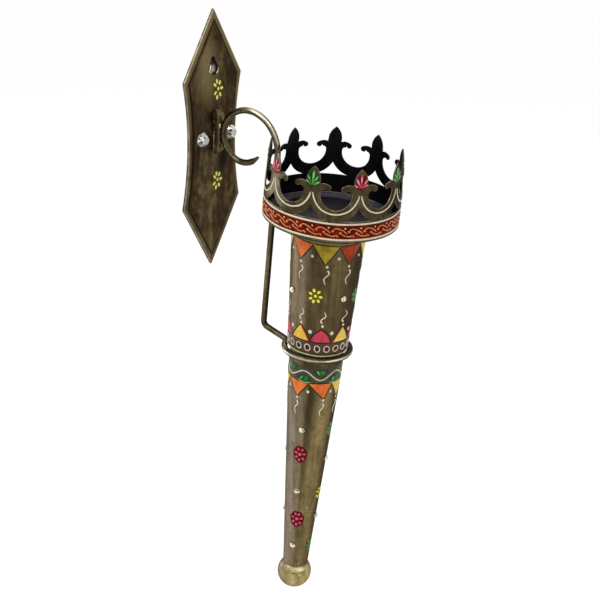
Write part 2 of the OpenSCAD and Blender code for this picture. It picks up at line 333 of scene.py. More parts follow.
LINING = (20, 18, 20)
TORCH_METAL = aged_metal(
    "aged_torch", (56, 45, 27), (80, 67, 42), (104, 89, 58), (132, 117, 96), TILT, inside=LINING
)
CONE_METAL = aged_metal(
    "aged_cone", (74, 61, 38), (106, 91, 58), (134, 117, 78), (140, 128, 114), TILT, inside=LINING
)
CROWN_METAL = aged_metal(
    "aged_crown", (42, 34, 20), (62, 52, 33), (88, 77, 51), (146, 134, 116), TILT, (200, 200, 140),
    inside=(42, 43, 50), bright=(156, 147, 118),
)
PLATE_METAL = aged_metal(
    "aged_plate", (46, 34, 19), (72, 57, 36), (122, 107, 73), (168, 158, 152), 0.0, (170, 170, 75),
    rough=(0.38, 0.54), inside=(30, 26, 20), mottle=0.7,
)
ROD_METAL = aged_metal(
    "aged_rod", (57, 50, 35), (84, 74, 52), (110, 100, 74), (120, 114, 96), 0.0, (420, 420, 300),
    0.98, (0.2, 0.34), bright=(232, 227, 200), mottle=0.5, edge=(0.42, 0.39, 0.3),
)
PAN_METAL = aged_metal(
    "dark_pan", (44, 40, 31), (70, 64, 50), (96, 88, 70), (110, 104, 92), TILT, (300, 300, 60),
    inside=(84, 82, 88), bright=(150, 140, 116),
)
BALL_METAL = aged_metal(
    "ball_brass", (116, 101, 62), (162, 147, 98), (204, 190, 140), (146, 131, 108), TILT, (160, 160, 60),
    0.92, (0.22, 0.35), bright=(238, 226, 176), edge=(0.4, 0.3, 0.32),
)
WELD_METAL = aged_metal(
    "weld", (44, 39, 28), (80, 72, 50), (212, 205, 166), (120, 112, 92), 0.0, (400, 400, 400), 0.9
)
CREAM = enamel("cream_paint", (234, 226, 196), 0.86)
BLUSH = enamel("blush_paint", (236, 214, 196), 0.84)
PALE_YELLOW = enamel("pale_yellow_paint", (250, 241, 112), 0.9)
YELLOW = enamel("yellow_paint", (242, 224, 104), (234, 200, 74))
MUSTARD = enamel("mustard_paint", (186, 158, 34), (152, 122, 24))
GOLD_YELLOW = enamel("gold_yellow_paint", (240, 210, 90), (232, 184, 66))
ORANGE = enamel("orange_paint", (240, 130, 56), (220, 100, 40))
RED_ORANGE = enamel("red_orange_paint", (188, 62, 20), (150, 40, 12))
PINK = enamel("pink_paint", (210, 68, 92), (180, 34, 62))
CRIMSON = enamel("crimson_ground", (108, 14, 30), 0.66, gloss=0.04)
ROSE = enamel("rose_paint", (212, 104, 122), (186, 70, 92))
GREEN = enamel("green_paint", (52, 116, 42), 0.7)
LEAF = enamel("leaf_paint", (108, 178, 80), (62, 134, 46))
DARK_GREEN = enamel("dark_green_ground", (22, 60, 24), 0.62)
BAND_RED = enamel("band_ground", (122, 31, 2), (82, 21, 2), 0.4, 90.0, 0.03)
SCROLL = enamel("scroll_paint", (238, 160, 112), (224, 120, 72))
SALMON = enamel("salmon_paint", (236, 140, 94), (220, 104, 60))
COLLAR = enamel("collar_ground", (84, 70, 46), 0.7)
BEAD_RED = enamel("bead_centre", (84, 20, 20), 0.6)
WREATH = enamel("wreath_ground", (80, 74, 54), (62, 62, 42))
KHAKI = enamel("khaki_paint", (134, 116, 58), 0.76)
TAN = enamel("tan_paint", (170, 146, 102), 0.86)
# Dark brown: painted shadow round the triangles, and the dark middles of some collar dots
OUTLINE = enamel("outline_wash", (36, 26, 12), 0.7)
STRAW = enamel("straw_paint", (216, 210, 150), 0.82)
HALO = enamel("olive_halo", (106, 96, 0), (78, 68, 0), 0.6, gloss=0.02)
DEEP_PINK = enamel("deep_pink_paint", (158, 26, 50), 0.8)
DEEP_LEAF = enamel("deep_leaf_paint", (34, 92, 42), (22, 62, 30))
MINT = enamel("mint_paint", (178, 228, 162), 0.84)
LEMON = enamel("lemon_paint", (255, 253, 168), 0.94)
GLASS = cut_glass("crystal")
WARM_GLASS = cut_glass("warm_crystal", (0.95, 0.88, 0.74))
GLUE = enamel("glue_ring", (46, 40, 28), 0.8, 0.3)


# Lines and outlines
def arc(cx, cy, r, start, end, steps):
    way = [radians(start + (end - start) * i / steps) for i in range(steps + 1)]
    return [(cx + r * cos(a), cy + r * sin(a)) for a in way]


def straight(p, q, steps):
    """Points of a line from just after its start to its end."""
    return [(p[0] + (q[0] - p[0]) * k / steps, p[1] + (q[1] - p[1]) * k / steps) for k in range(1, steps + 1)]


def smooth_line(points, steps=4):
    """Catmull-Rom curve through control points of any length."""
    pts = [np.array(p, float) for p in points]
    pts = [2 * pts[0] - pts[1], *pts, 2 * pts[-1] - pts[-2]]
    out = []
    for p0, p1, p2, p3 in zip(pts, pts[1:], pts[2:], pts[3:]):
        for s in (k / steps for k in range(steps)):
            line = 2 * p1 + (p2 - p0) * s + (2 * p0 - 5 * p1 + 4 * p2 - p3) * s * s
            out.append(tuple(0.5 * (line + (3 * p1 - p0 - 3 * p2 + p3) * s**3)))
    return out + [tuple(pts[-2])]


def oval(rx, ry, steps, *more):
    """Points of an oval, each with more numbers behind it."""
    return [(rx * cos(a), ry * sin(a), *more) for a in turns(steps)]


def inside(poly, x, y):
    hit = False
    for (x0, y0), (x1, y1) in zip(poly, poly[1:] + poly[:1]):
        if (y0 > y) != (y1 > y) and x < (x1 - x0) * (y - y0) / (y1 - y0) + x0:
            hit = not hit
    return hit


def resample(poly, step, closed=True):
    """Points along an outline or a line, no more than a step apart."""
    out = []
    for a, b in zip(poly, poly[1:] + poly[:1] if closed else poly[1:]):
        n = max(1, ceil(dist(a, b) / step))
        out += [(a[0] + (b[0] - a[0]) * i / n, a[1] + (b[1] - a[1]) * i / n) for i in range(n)]
    return out if closed else out + [poly[-1]]


def inset(poly, by):
    """Moves each point of a closed outline inwards."""
    if sum(a[0] * b[1] - b[0] * a[1] for a, b in zip(poly, poly[1:] + poly[:1])) < 0:
        by = -by
    out = []
    for i, p in enumerate(poly):
        d = unit(np.subtract(poly[(i + 1) % len(poly)], poly[i - 1]))
        out.append((p[0] - d[1] * by, p[1] + d[0] * by))
    return out


def triangles(outline, hole, step):
    """Points and triangles between an outline and a hole, over a grid of points."""

    def within(x, y):
        return inside(outline, x, y) and not inside(hole, x, y)

    pts, edges = [], []
    for loop in (outline, hole):
        start = len(pts)
        pts += loop
        edges += [(start + i, start + (i + 1) % len(loop)) for i in range(len(loop))]
    near = np.array(pts)
    left, low = near.min(axis=0)
    right, high = near.max(axis=0)
    row, y = 0, low + step
    while y < high:
        x = left + step * (0.5 if row % 2 else 1.0)
        while x < right:
            if np.min(np.abs(near[:, 0] - x) + np.abs(near[:, 1] - y)) > step * 0.7 and within(x, y):
                pts.append((x, y))
            x += step
        row, y = row + 1, y + step * 0.87
    got = delaunay_2d_cdt([Vector(p) for p in pts], edges, [], 0, 1e-5)
    verts = [tuple(v) for v in got[0]]
    faces = [tuple(f) for f in got[2] if within(*(sum(verts[i][k] for i in f) / 3 for k in (0, 1)))]
    return verts, faces


def rounded(pts, widths, end, near):
    """Points and widths that round off one end of a stroke, outwards."""
    out = unit(pts[end] - pts[near])
    return [(pts[end] + out * widths[end] / 2 * s, widths[end] * sqrt(1 - s * s)) for s in (0.45, 0.8, 0.98)]


def grid_faces(rows, cols, closed=False, looped=False):
    """Quads between rows of points; closed joins the ends of each row, looped the last row to the first."""
    faces = []
    for i in range(rows if looped else rows - 1):
        for j in range(cols if closed else cols - 1):
            k, m = (i + 1) % rows, (j + 1) % cols
            faces.append((i * cols + j, i * cols + m, k * cols + m, k * cols + j))
    return faces


def fan(first, sides, middle):
    return [(first + k, first + (k + 1) % sides, middle) for k in range(sides)]


class Piece:
    """Collects the patches of one piece, each with its material, and makes its object."""

    def __init__(self):
        self.verts, self.faces, self.slots, self.mats, self.flags = [], [], [], [], {}

    def patch(self, verts, faces, mat, **flags):
        start = len(self.verts)
        self.verts.extend(tuple(c / 1000 for c in v) for v in verts)
        self.faces.extend(tuple(start + i for i in f) for f in faces)
        if mat not in self.mats:
            self.mats.append(mat)
        self.slots.extend([self.mats.index(mat)] * len(faces))
        for key, value in flags.items():
            values = value if isinstance(value, list) else [value] * len(verts)
            self.flags.setdefault(key, {}).update(zip(range(start, len(self.verts)), values))

    def grid(self, rows, mat, closed=False, looped=False, **flags):
        self.patch(flat(rows), grid_faces(len(rows), len(rows[0]), closed, looped), mat, **flags)

    def stroke(self, place, mat, line, height=0.4, across=6, closed=False):
        """Lays a domed brush stroke along (right, up, width) points of a surface."""
        pts = [np.array(p[:2], float) for p in line]
        widths = [p[2] for p in line]
        both = list(zip(pts, widths))
        if not closed:
            both = rounded(pts, widths, 0, 1)[::-1] + both + rounded(pts, widths, -1, -2)
        n = len(both)
        rows = []
        for i, (p, width) in enumerate(both):
            ahead = both[(i + 1) % n if closed else min(i + 1, n - 1)][0]
            back = both[i - 1 if closed else max(i - 1, 0)][0]
            d = unit(ahead - back)
            side = np.array([-d[1], d[0]])
            full = height * min(1.0, width / 0.9)
            spread = [2 * k / across - 1 for k in range(across + 1)]
            rows.append([place(*(p + side * width / 2 * s), full * dome(s) - SINK) for s in spread])
        self.grid(rows, mat, looped=closed)

    def dot(self, place, mat, u, v, rx, ry, height=0.5, turn=0.0):
        """Lays a domed drop of paint."""
        rings, sides = 4, 14
        c, d = cos(turn), sin(turn)
        verts = []
        for a in (i / rings * pi / 2 for i in range(rings)):
            ring, rise = oval(rx * cos(a), ry * cos(a), sides), height * sin(a) - SINK
            verts += [place(u + x * c - y * d, v + x * d + y * c, rise) for x, y in ring]
        top = len(verts)
        verts.append(place(u, v, height))
        self.patch(verts, grid_faces(rings, sides, True) + fan(top - sides, sides, top), mat)

    def fill(self, place, mat, poly, height=0.1, step=2.2):
        """Lays a flat field of paint with a soft edge."""
        poly = resample(poly, step * 0.6)
        inner = inset(poly, 0.3)
        verts, faces = triangles(inner, [], step)
        self.patch([place(x, y, height) for x, y in verts], faces, mat)
        self.grid([[place(x, y, -SINK) for x, y in poly], [place(x, y, height) for x, y in inner]], mat, True)

    def coat(self, place, mat, rows, steps=160, drift=lambda k, t: 0.0):
        """Lays paint all round the torch, from (distance down, height) rows; drift moves it down."""
        verts = [place(360 * k / steps, t + drift(k, t), h) for t, h in rows for k in range(steps)]
        self.patch(verts, grid_faces(len(rows), steps, True), mat)

    def ring_line(self, place, mat, t, width, height=0.45, wobble=0.1, steps=160):
        """Lays a painted line all round the torch."""

        def drift(k, _):
            return wobble * sin(3 * 2 * pi * k / steps + 1) + wobble * sin(7 * 2 * pi * k / steps)

        rows = [(t + s * width / 2, height * dome(s) - SINK) for s in (2 * j / 5 - 1 for j in range(6))]
        self.coat(place, mat, rows, steps, drift)

    def weld(self, spots, size, wear=0.15):
        """Lays a run of overlapping weld drops."""
        for x, y, z in spots:
            r = size * rng.uniform(0.75, 1.2)
            n, m = 8, 12
            wob = [rng.uniform(0.86, 1.14) for _ in range(m)]
            rows = []
            for a in (pi * i / n for i in range(n + 1)):
                ring = [(b, r * (1 + (w - 1) * sin(a)) * sin(a)) for b, w in zip(turns(m), wob)]
                rows.append([(x + s * cos(b), y + s * sin(b), z + r * cos(a)) for b, s in ring])
            self.grid(rows, WELD_METAL, True, wear=wear * rng.uniform(0.6, 1.0))

    def make(self, name, body, slot=None, replaces=(), smooth=True, sharp=None, merge=0.0):
        mesh = bpy.data.meshes.new(name)
        mesh.from_pydata(self.verts, [], self.faces)
        for key, values in self.flags.items():
            layer = mesh.attributes.new(key, "FLOAT", "POINT")
            layer.data.foreach_set("value", [values.get(i, 0.0) for i in range(len(self.verts))])
        for mat in self.mats:
            mesh.materials.append(mat)
        mesh.polygons.foreach_set("material_index", self.slots)
        bm = bmesh.new()
        bm.from_mesh(mesh)
        if merge:
            bmesh.ops.remove_doubles(bm, verts=bm.verts, dist=merge / 1000)
        bmesh.ops.recalc_face_normals(bm, faces=bm.faces)
        for face in bm.faces:
            face.smooth = smooth
        for edge in bm.edges if sharp else ():
            if len(edge.link_faces) == 2 and edge.calc_face_angle(0.0) > radians(sharp):
                edge.smooth = False
        bm.to_mesh(mesh)
        bm.free()
        obj = bpy.data.objects.new(name, mesh)
        scene.collection.objects.link(obj)
        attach(obj, body)
        if replaces:
            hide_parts(*replaces)
        return obj


# Wall plate
def plate_side(margin, edge_steps=26, waist_steps=44):
    """Right-hand outline of the plate, drawn in by a margin, from the lower point to the upper."""
    tip = TIP - margin / sin(LEAN_IN)
    cx, r = WAIST + WAIST_R, WAIST_R + margin
    slope = tan(LEAN_IN)
    # The slanted edge meets the waist's arc where they are as far out
    low, high = 0.0, tip
    for _ in range(60):
        mid = (low + high) / 2
        if (tip - mid) * slope > cx - sqrt(max(0.0, r * r - mid * mid)):
            low = mid
        else:
            high = mid
    z = (low + high) / 2
    x = (tip - z) * slope
    edge = [(x * i / edge_steps, -(tip + (z - tip) * i / edge_steps)) for i in range(edge_steps)]
    half = asin(z / r)
    bend = [-half + 2 * half * i / waist_steps for i in range(waist_steps + 1)]
    waist = [(cx - r * cos(w), r * sin(w)) for w in bend]
    return edge + waist + [(px, -pz) for px, pz in reversed(edge)]


def plate_soot(x, z):
    """Painted shade on the panel: darker on its right side and upper right corner, a painted shadow right of
    the arm's bar and below it, and darker near the upper point and towards the bottom.
    """
    side = 0.24 / (1 + exp(-(x - 6) / 4.5))
    corner = 0.34 * bell(x - 22, 11) * bell(z - 76, 28)
    weld_heat = 0.85 * bell(x - 9, 8) * bell(z + 18, 11) + 0.34 * bell(x - 13, 7) * bell(z - 20, 24)
    ends = 0.12 * bell(z - 108, 14) + 0.08 / (1 + exp((z - 10) / 12))
    return min(1.0, 0.05 + side + corner + weld_heat + ends)


def plate_shine(x, z):
    """Painted highlight on the panel: mostly its upper left, weaker down its left side and near the lower
    point.
    """
    left = 0.8 * bell(x + 13, 16) * bell(z - 72, 36) + 0.22 * bell(x + 16, 8) * bell(z + 60, 26)
    return left + 0.2 * bell(x + 20, 9) * bell(z - 12, 26) + 0.24 * bell(x, 14) * bell(z + 102, 14)


def plate_rows():
    """Rows of (x, y, z, worn share, painted shade) up to the middle; the border is worn brass, the step gets
    painted shade, and the panel rows carry no shade of their own.
    """
    rows = []
    # Turned edge and border, as (margin, depth, worn share, painted shade in the step)
    for margin, depth, wear, grime in (
        (0.0, 0.0, 0.0, 0.0),
        (0.0, EDGE - 0.5, 0.5, 0.0),
        (0.15, EDGE - 0.15, 1.0, 0.0),
        (0.5, EDGE, 0.9, 0.0),
        (1.6, EDGE, 0.75, 0.0),
        (BORDER - 0.9, EDGE, 0.65, 0.0),
        (BORDER - 0.2, EDGE + 0.08, 0.0, 0.9),
    ):
        rows.append([(x, -depth, z, wear, grime) for x, z in plate_side(margin)])
    # The border's inner edge and the step down into the panel get painted shade, fading towards the panel
    step_w = 1.5
    for s in (0.12, 0.3, 0.5, 0.7, 0.88, 1.0):
        soft, side, row = s * s * (3 - 2 * s), plate_side(BORDER + step_w * s), []
        for x, z in side:
            depth = max(EDGE, plate_depth(x, z))
            row.append((x, -(EDGE + (depth - EDGE) * soft), z, 0.0, 1.0 - 0.85 * s))
        rows.append(row)
    for k in (0.93, 0.84, 0.72, 0.6, 0.48, 0.36, 0.24, 0.12, 0.0):
        rows.append([(x * k, -max(EDGE, plate_depth(x * k, z)), z, 0.0, None) for x, z in side])
    return rows


def make_plate():
    piece = Piece()
    rows = plate_rows()
    # Painted grey highlight along the plate's turned outer edge
    edge_pale = [tone for tone in (0.0, 0.8, 1.0, 0.6) for _ in rows[0]]
    back = -(EDGE - SHEET)
    for sign in (1, -1):
        wear, grime = [], []
        for x, _, z, worn, black in flat(rows):
            # The panel gets painted shade and a painted highlight; the border's worn brass gets lighter
            # towards the top as painted light
            soot, shine = plate_soot(sign * x, z), plate_shine(sign * x, z)
            wear.append(worn * (0.8 + 0.2 * tanh(z / 30)) + (shine if black is None else 0.0))
            grime.append(soot if black is None else max(black, soot * (black > 0)))
        front = [[(sign * x, y, z) for x, y, z, *_ in row] for row in rows]
        piece.grid(front, PLATE_METAL, wear=wear, grime=grime, pale=edge_pale)
        margins = ((0.0, 0.0), (SHEET, 0.0), (SHEET, back))
        under = [[(sign * x, y, z) for x, z in plate_side(margin)] for margin, y in margins]
        under += [[(sign * x, min(back, y + SHEET), z) for x, y, z, *_ in row] for row in rows[5:]]
        piece.grid(under, PLATE_METAL, dark=1.0)
    obj = piece.make("plate_shell", "bracket", "plate_sheet", sharp=50, merge=0.01)
    cut_keyhole(obj)
    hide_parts("wall_plate")


def keyhole_outline(grow):
    """Teardrop that the hand punch made: a round foot drawn up into a narrow slot."""
    x, z, r, half = -3.0, 70.9, 5.9 + grow, 2.0 + grow
    return arc(x, z, r, 152, 388, 44) + arc(x - 0.5, z + 8.7, half, 0, 180, 12)


def cut_keyhole(obj):
    cutter = Piece()
    outline = keyhole_outline(0.0)
    n = len(outline)
    verts = [(x, y, z) for y in (-15, 5) for x, z in outline]
    cutter.patch(verts, grid_faces(2, n, True) + [tuple(range(n)), tuple(range(n, 2 * n))], PLATE_METAL)
    tool = cutter.make("keyhole_tool", "bracket")
    mod = obj.modifiers.new("keyhole", "BOOLEAN")
    mod.object = tool
    mod.operation = "DIFFERENCE"
    mod.solver = "EXACT"
    bpy.context.view_layer.update()
    cut = bpy.data.meshes.new_from_object(obj.evaluated_get(bpy.context.evaluated_depsgraph_get()))
    obj.modifiers.clear()
    obj.data = cut
    bpy.data.objects.remove(tool)


def burr_shine(x, z):
    """Where the burr gets a painted highlight and a fuller lip: a crescent at the lower right and a lump at
    the left.
    """
    return max(bell(x - 1.5, 2.6) * bell(z - 67.5, 3.2), 0.9 * bell(x + 8.4, 2.2) * bell(z - 69, 2.6), 0.12)


def make_burr():
    """Lips that the punch left: a torn burr in front, and sheet dragged in behind."""
    piece = Piece()
    sides, front = 8, Vector((0, -1, 0))
    outline = keyhole_outline(0.3)
    path = [Vector(on_plate(x, z)) for x, z in outline]
    rows, wear = [], []
    for i, (x, z) in enumerate(outline):
        along = (path[(i + 1) % len(path)] - path[i - 1]).normalized()
        side = front.cross(along).normalized()
        torn = bell(x + 8, 3) * bell(z - 68, 4)
        r = (0.34 + 0.6 * torn + 0.4 * burr_shine(x, z)) * rng.uniform(0.75, 1.2)
        rows.append([path[i] + side * (r * cos(a)) + front * (r * sin(a) * 0.8) for a in turns(sides)])
        wear += [burr_shine(x, z)] * sides
    piece.grid(rows, WELD_METAL, True, True, wear=wear)
    cx, cz = -3.0, 71.6
    rows, pale, grime = [], [], []
    # Dragged sheet, as (distance back, size, painted light, painted shade)
    for back, size, tone, black in (
        (0.0, 1.0, 0, 0.6), (0.6, 1.0, 0, 1.0), (1.4, 0.96, 0.1, 0.9),
        (2.6, 0.86, 0.6, 0.35), (4.0, 0.74, 1.0, 0.0), (5.3, 0.62, 1.0, 0.0),
    ):
        row = []
        for x, z in keyhole_outline(0.05):
            f = size + (jit(0.03) if back > 3 else 0)
            depth = max(0.3, plate_depth(x, z) - back)
            row.append((cx - 0.35 * back + (x - cx) * f, -depth, cz + (z - cz) * f))
            # Painted light deep and low in the hole, where one looks through behind the plate; painted shade
            # near its front and under its top
            lit = clamp((cz + 5.0 - z) / 5)
            pale.append(tone * lit)
            grime.append(max(black, 1.0 - 1.2 * lit))
        rows.append(row)
    piece.grid(rows, PLATE_METAL, True, pale=pale, grime=grime)
    piece.make("keyhole_burr", "bracket", "plate_sheet")


# Bracket rod, ring and saddle
def scroll_path():
    """Middle of the arm's rod: curl, bend over beside the crown, leg, and elbow in under the ring."""
    turn, bend = degrees(TILT), 46
    shift = BEND_R - CURL_R
    leg_t = RING_T + 2 * RING_SINK + 2 * ROD_R
    corner = leg_t - (ROD_OFF - RING_R) * tan(radians(11))
    elbow_r, elbow_turn = 6.0, 79.0
    cut = elbow_r * tan(radians(elbow_turn / 2))
    by, bz = -CURL_OUT - shift * cos(radians(bend)), CURL_Z - shift * sin(radians(bend))
    pts = arc(-CURL_OUT, CURL_Z, CURL_R, -138, bend, 110) + arc(by, bz, BEND_R, bend, 180 + turn, 80)[1:]
    elbow = arc(*torch(0, ROD_OFF - elbow_r, cut - corner)[1:], elbow_r, turn, turn - elbow_turn, 22)
    pts += straight(pts[-1], elbow[0], 40)[:-1] + elbow
    pts += straight(elbow[-1], torch(0, RING_R - ROD_R / 2, -leg_t)[1:], 12)
    return [(0.0, y, z) for y, z in pts]


def make_rod():
    piece = Piece()
    path = scroll_path()
    last, sides, thick = len(path) - 1, 28, ROD_R - 0.05
    wob = [jit(0.035) for _ in path]
    across = Vector((1, 0, 0))
    verts, wear, grime = [], [], []
    for i, p in enumerate(path):
        back, ahead = max(i - 1, 0), min(i + 1, last)
        along = (Vector(path[ahead]) - Vector(path[back])).normalized()
        up = across.cross(along).normalized()
        uneven = (wob[back] + 2 * wob[i] + wob[ahead]) / 4
        # The curl's end is hammered flat
        hammered = min(1.0, 0.45 + 0.55 * dist(p, path[0]) / 8)
        # Room side of the leg, from where the bend ends
        leg = clamp((i - 190) / 12)
        for k, turn in enumerate(turns(sides)):
            a = 360 * k / sides
            side = across * ((thick + uneven) * cos(turn)) + up * ((thick * hammered + uneven) * sin(turn))
            verts.append(Vector(p) + side)
            # Painted highlights along the outside of the bend and on the curl; painted shade on the leg's
            # room side and on one side of the rod above the leg
            bend, curl = bell(i - 152, 32) * bell(a - 232, 26), bell(i - 50, 40) * bell(a - 190, 24)
            wear.append(0.85 * bend + 0.2 * curl)
            grime.append(0.95 * leg * bell(a - 272, 52) + 0.35 * (1 - leg) * bell(a - 110, 50))
    verts += [path[0], path[last]]
    faces = grid_faces(len(path), sides, True)
    faces += fan(0, sides, len(verts) - 2) + fan(last * sides, sides, len(verts) - 1)
    piece.patch(verts, faces, ROD_METAL, wear=wear, grime=grime)
    piece.make("scroll_rod", "bracket", "rod_iron", ("scroll_arm",), sharp=60)


def ring_point(a, b, r=ROD_R):
    """A point on the ring's tube: a goes round the ring, b round its section, both in radians."""
    out = RING_R + r * cos(b)
    x, y, z = out * cos(a), out * sin(a), r * sin(b)
    c, s = cos(-RING_TIP), sin(-RING_TIP)
    return torch(x, y * c - z * s, y * s + z * c - RING_T - RING_SINK)


def make_ring():
    piece = Piece()
    n, m = 160, 26
    wob = [jit(0.03) for _ in range(n)]
    rows, wear, grime = [], [], []
    for i, a in enumerate(turns(n)):
        rows.append([ring_point(a, b, ROD_R - 0.04 + wob[i]) for b in turns(m)])
        # Painted highlight streak along the ring's outer face, its strength varying round the ring and
        # lighter on one side; painted shade above and below the streak
        rubbed = 0.72 + 0.28 * sin(i * 0.23 + 1) * sin(i * 0.071)
        side = bell(360 * i / n - 136, 24)
        for b in ((360 * k / m + 180) % 360 - 180 for k in range(m)):
            wear.append(rubbed * bell(b - 12, 15) + 0.3 * side * bell(b - 70, 40))
            black = 0.6 * bell(b - 62, 30) + 0.9 * bell(b - 125, 40) + 0.75 * bell(b + 46, 26)
            grime.append(min(1.0, black * (1 - 0.75 * side)))
    piece.grid(rows, ROD_METAL, True, True, wear=wear, grime=grime)
    piece.make("ring_loop", "bracket", "rod_iron", ("cradle_ring",))
    beads = Piece()
    under = [ring_point(radians(90 + k * 1.6), radians(-118), ROD_R + 0.1) for k in range(-4, 5)]
    beads.weld([(x, y - 0.4, z - 0.1) for x, y, z in under], 1.5)
    beside = [ring_point(radians(90 + s * 6.5), radians(-75), ROD_R - 0.1) for s in (-1, -0.6, 0.6, 1)]
    beads.weld(beside, 1.2)
    beads.make("ring_weld", "bracket", "rod_iron")


def make_saddle():
    """Bar with sloping, rounded ends that carries the curl, and its welds."""
    piece = Piece()
    front, low, high, half, slope, steps = 14.2, -11.4, 32.6, 4.5, 6.5, 30
    rows = []
    for z in (low + (high - low) * i / steps for i in range(steps + 1)):
        rise = sin(min(1.0, min(z - low, high - z) / slope) * pi / 2)
        w = half * (0.5 + 0.5 * rise)
        wall = plate_depth(0, z)
        base, reach = wall - 0.6, max(wall + (front - PLATE_RISE) * rise**0.8, wall + 0.3)
        c = min(1.2, (reach - base) * 0.4)
        side = [(w, base), (w, reach - c), (w - c * 0.35, reach - c * 0.35), (w - c, reach)]
        row = []
        for x, d in [(-x, d) for x, d in side] + side[::-1]:
            # The rod lies in the bar
            if abs(x) < ROD_R and d > base + 0.5:
                outer = CURL_R + sqrt(max(0.0, (ROD_R + 0.02) ** 2 - x * x))
                if hypot(CURL_OUT - d, z - CURL_Z) < outer:
                    d = CURL_OUT - sqrt(max(0.0, outer**2 - (z - CURL_Z) ** 2))
            row.append((x, -d, z))
        rows.append(row)
    m, n = len(rows[0]), len(rows)
    faces = grid_faces(n, m) + [tuple(range(m)), tuple(range((n - 1) * m, n * m))]
    # Painted light: the bar's left face lighter and its right face darker; its front edges lighter as worn
    # metal and painted highlight
    piece.patch(flat(rows), faces, PLATE_METAL, wear=[0.35, 0.35, 0.6, 0.6, 0.6, 0.6, 0.1, 0.1] * n)
    piece.make("saddle_bar", "bracket", "plate_sheet", ("arm_saddle",), sharp=40)
    beads = Piece()
    for s in (-1, 1):
        rod_side = [(s * 2.7 + jit(0.3), -13.5 + jit(0.2), CURL_Z + k * 1.2 + jit(0.3)) for k in range(-8, 9)]
        beads.weld(rod_side, 1.1)
        wall_side = [(s * 4.3 + jit(0.2), -plate_depth(4.4, z) - 0.1, z) for z in np.arange(-8, 30, 1.5)]
        beads.weld(wall_side, 0.9)
    # These drops get a strong painted highlight
    beads.weld([(-3.3, -14.3, 18.6), (-3.5, -14.2, 17.3), (-3.2, -14.4, 16.2)], 1.2, 1.0)
    beads.make("saddle_weld", "bracket", "plate_sheet")


# Crown
def crown_half(reach, lobe_r, drop, bud_w):
    """Right half of one period of the crown's upper edge, from mid-bay to the tip, as (chord, height)."""
    stem, low, bud_half, tip_r = HALF_BAY - BAY_R, BAY_Z + 4, 12.0, 0.9
    top = low + ARM_T
    ogive = (bud_half**2 / bud_w + bud_w) / 2
    pts = arc(HALF_BAY, BAY_Z, BAY_R, 270, 180, 22) + arc(stem + 3, low - 3, 3, 172, 80, 8)
    pts += arc(reach, top - lobe_r - drop, lobe_r, 175, 420, 22)
    pts += [(reach - 1.4, top), (reach - 4.5, top + 0.5), (stem, top)]
    pts += arc(bud_w - ogive, FINIAL_H - bud_half, ogive, -10, 53, 20)
    return pts + arc(0, FINIAL_H - tip_r, tip_r, 20, 90, 5)


def chord_to_arc(p):
    return (CROWN_R * asin(max(-1.0, min(1.0, p[0] / CROWN_R))), p[1])


def clean(line, gap=0.25):
    """Drops points that crowd."""
    out = [line[0]]
    for p in line[1:-1]:
        if dist(p, out[-1]) > gap:
            out.append(p)
    return out + [line[-1]]


def drawn_in(loop, by):
    """Insets one period's outline, but leaves the sides where it meets the next."""
    moved = []
    for p, q in zip(inset(loop, by), loop):
        on_side, on_foot = abs(abs(q[0]) - BAY) < 1e-6, abs(q[1] + BAND_H) < 1e-6
        moved.append((q[0] if on_side else p[0], q[1] + by if on_side and on_foot else p[1]))
    return moved


def mirrored(line):
    """The left half of an outline whose right half ends in the middle."""
    return [(-x, y) for x, y in reversed(line)]


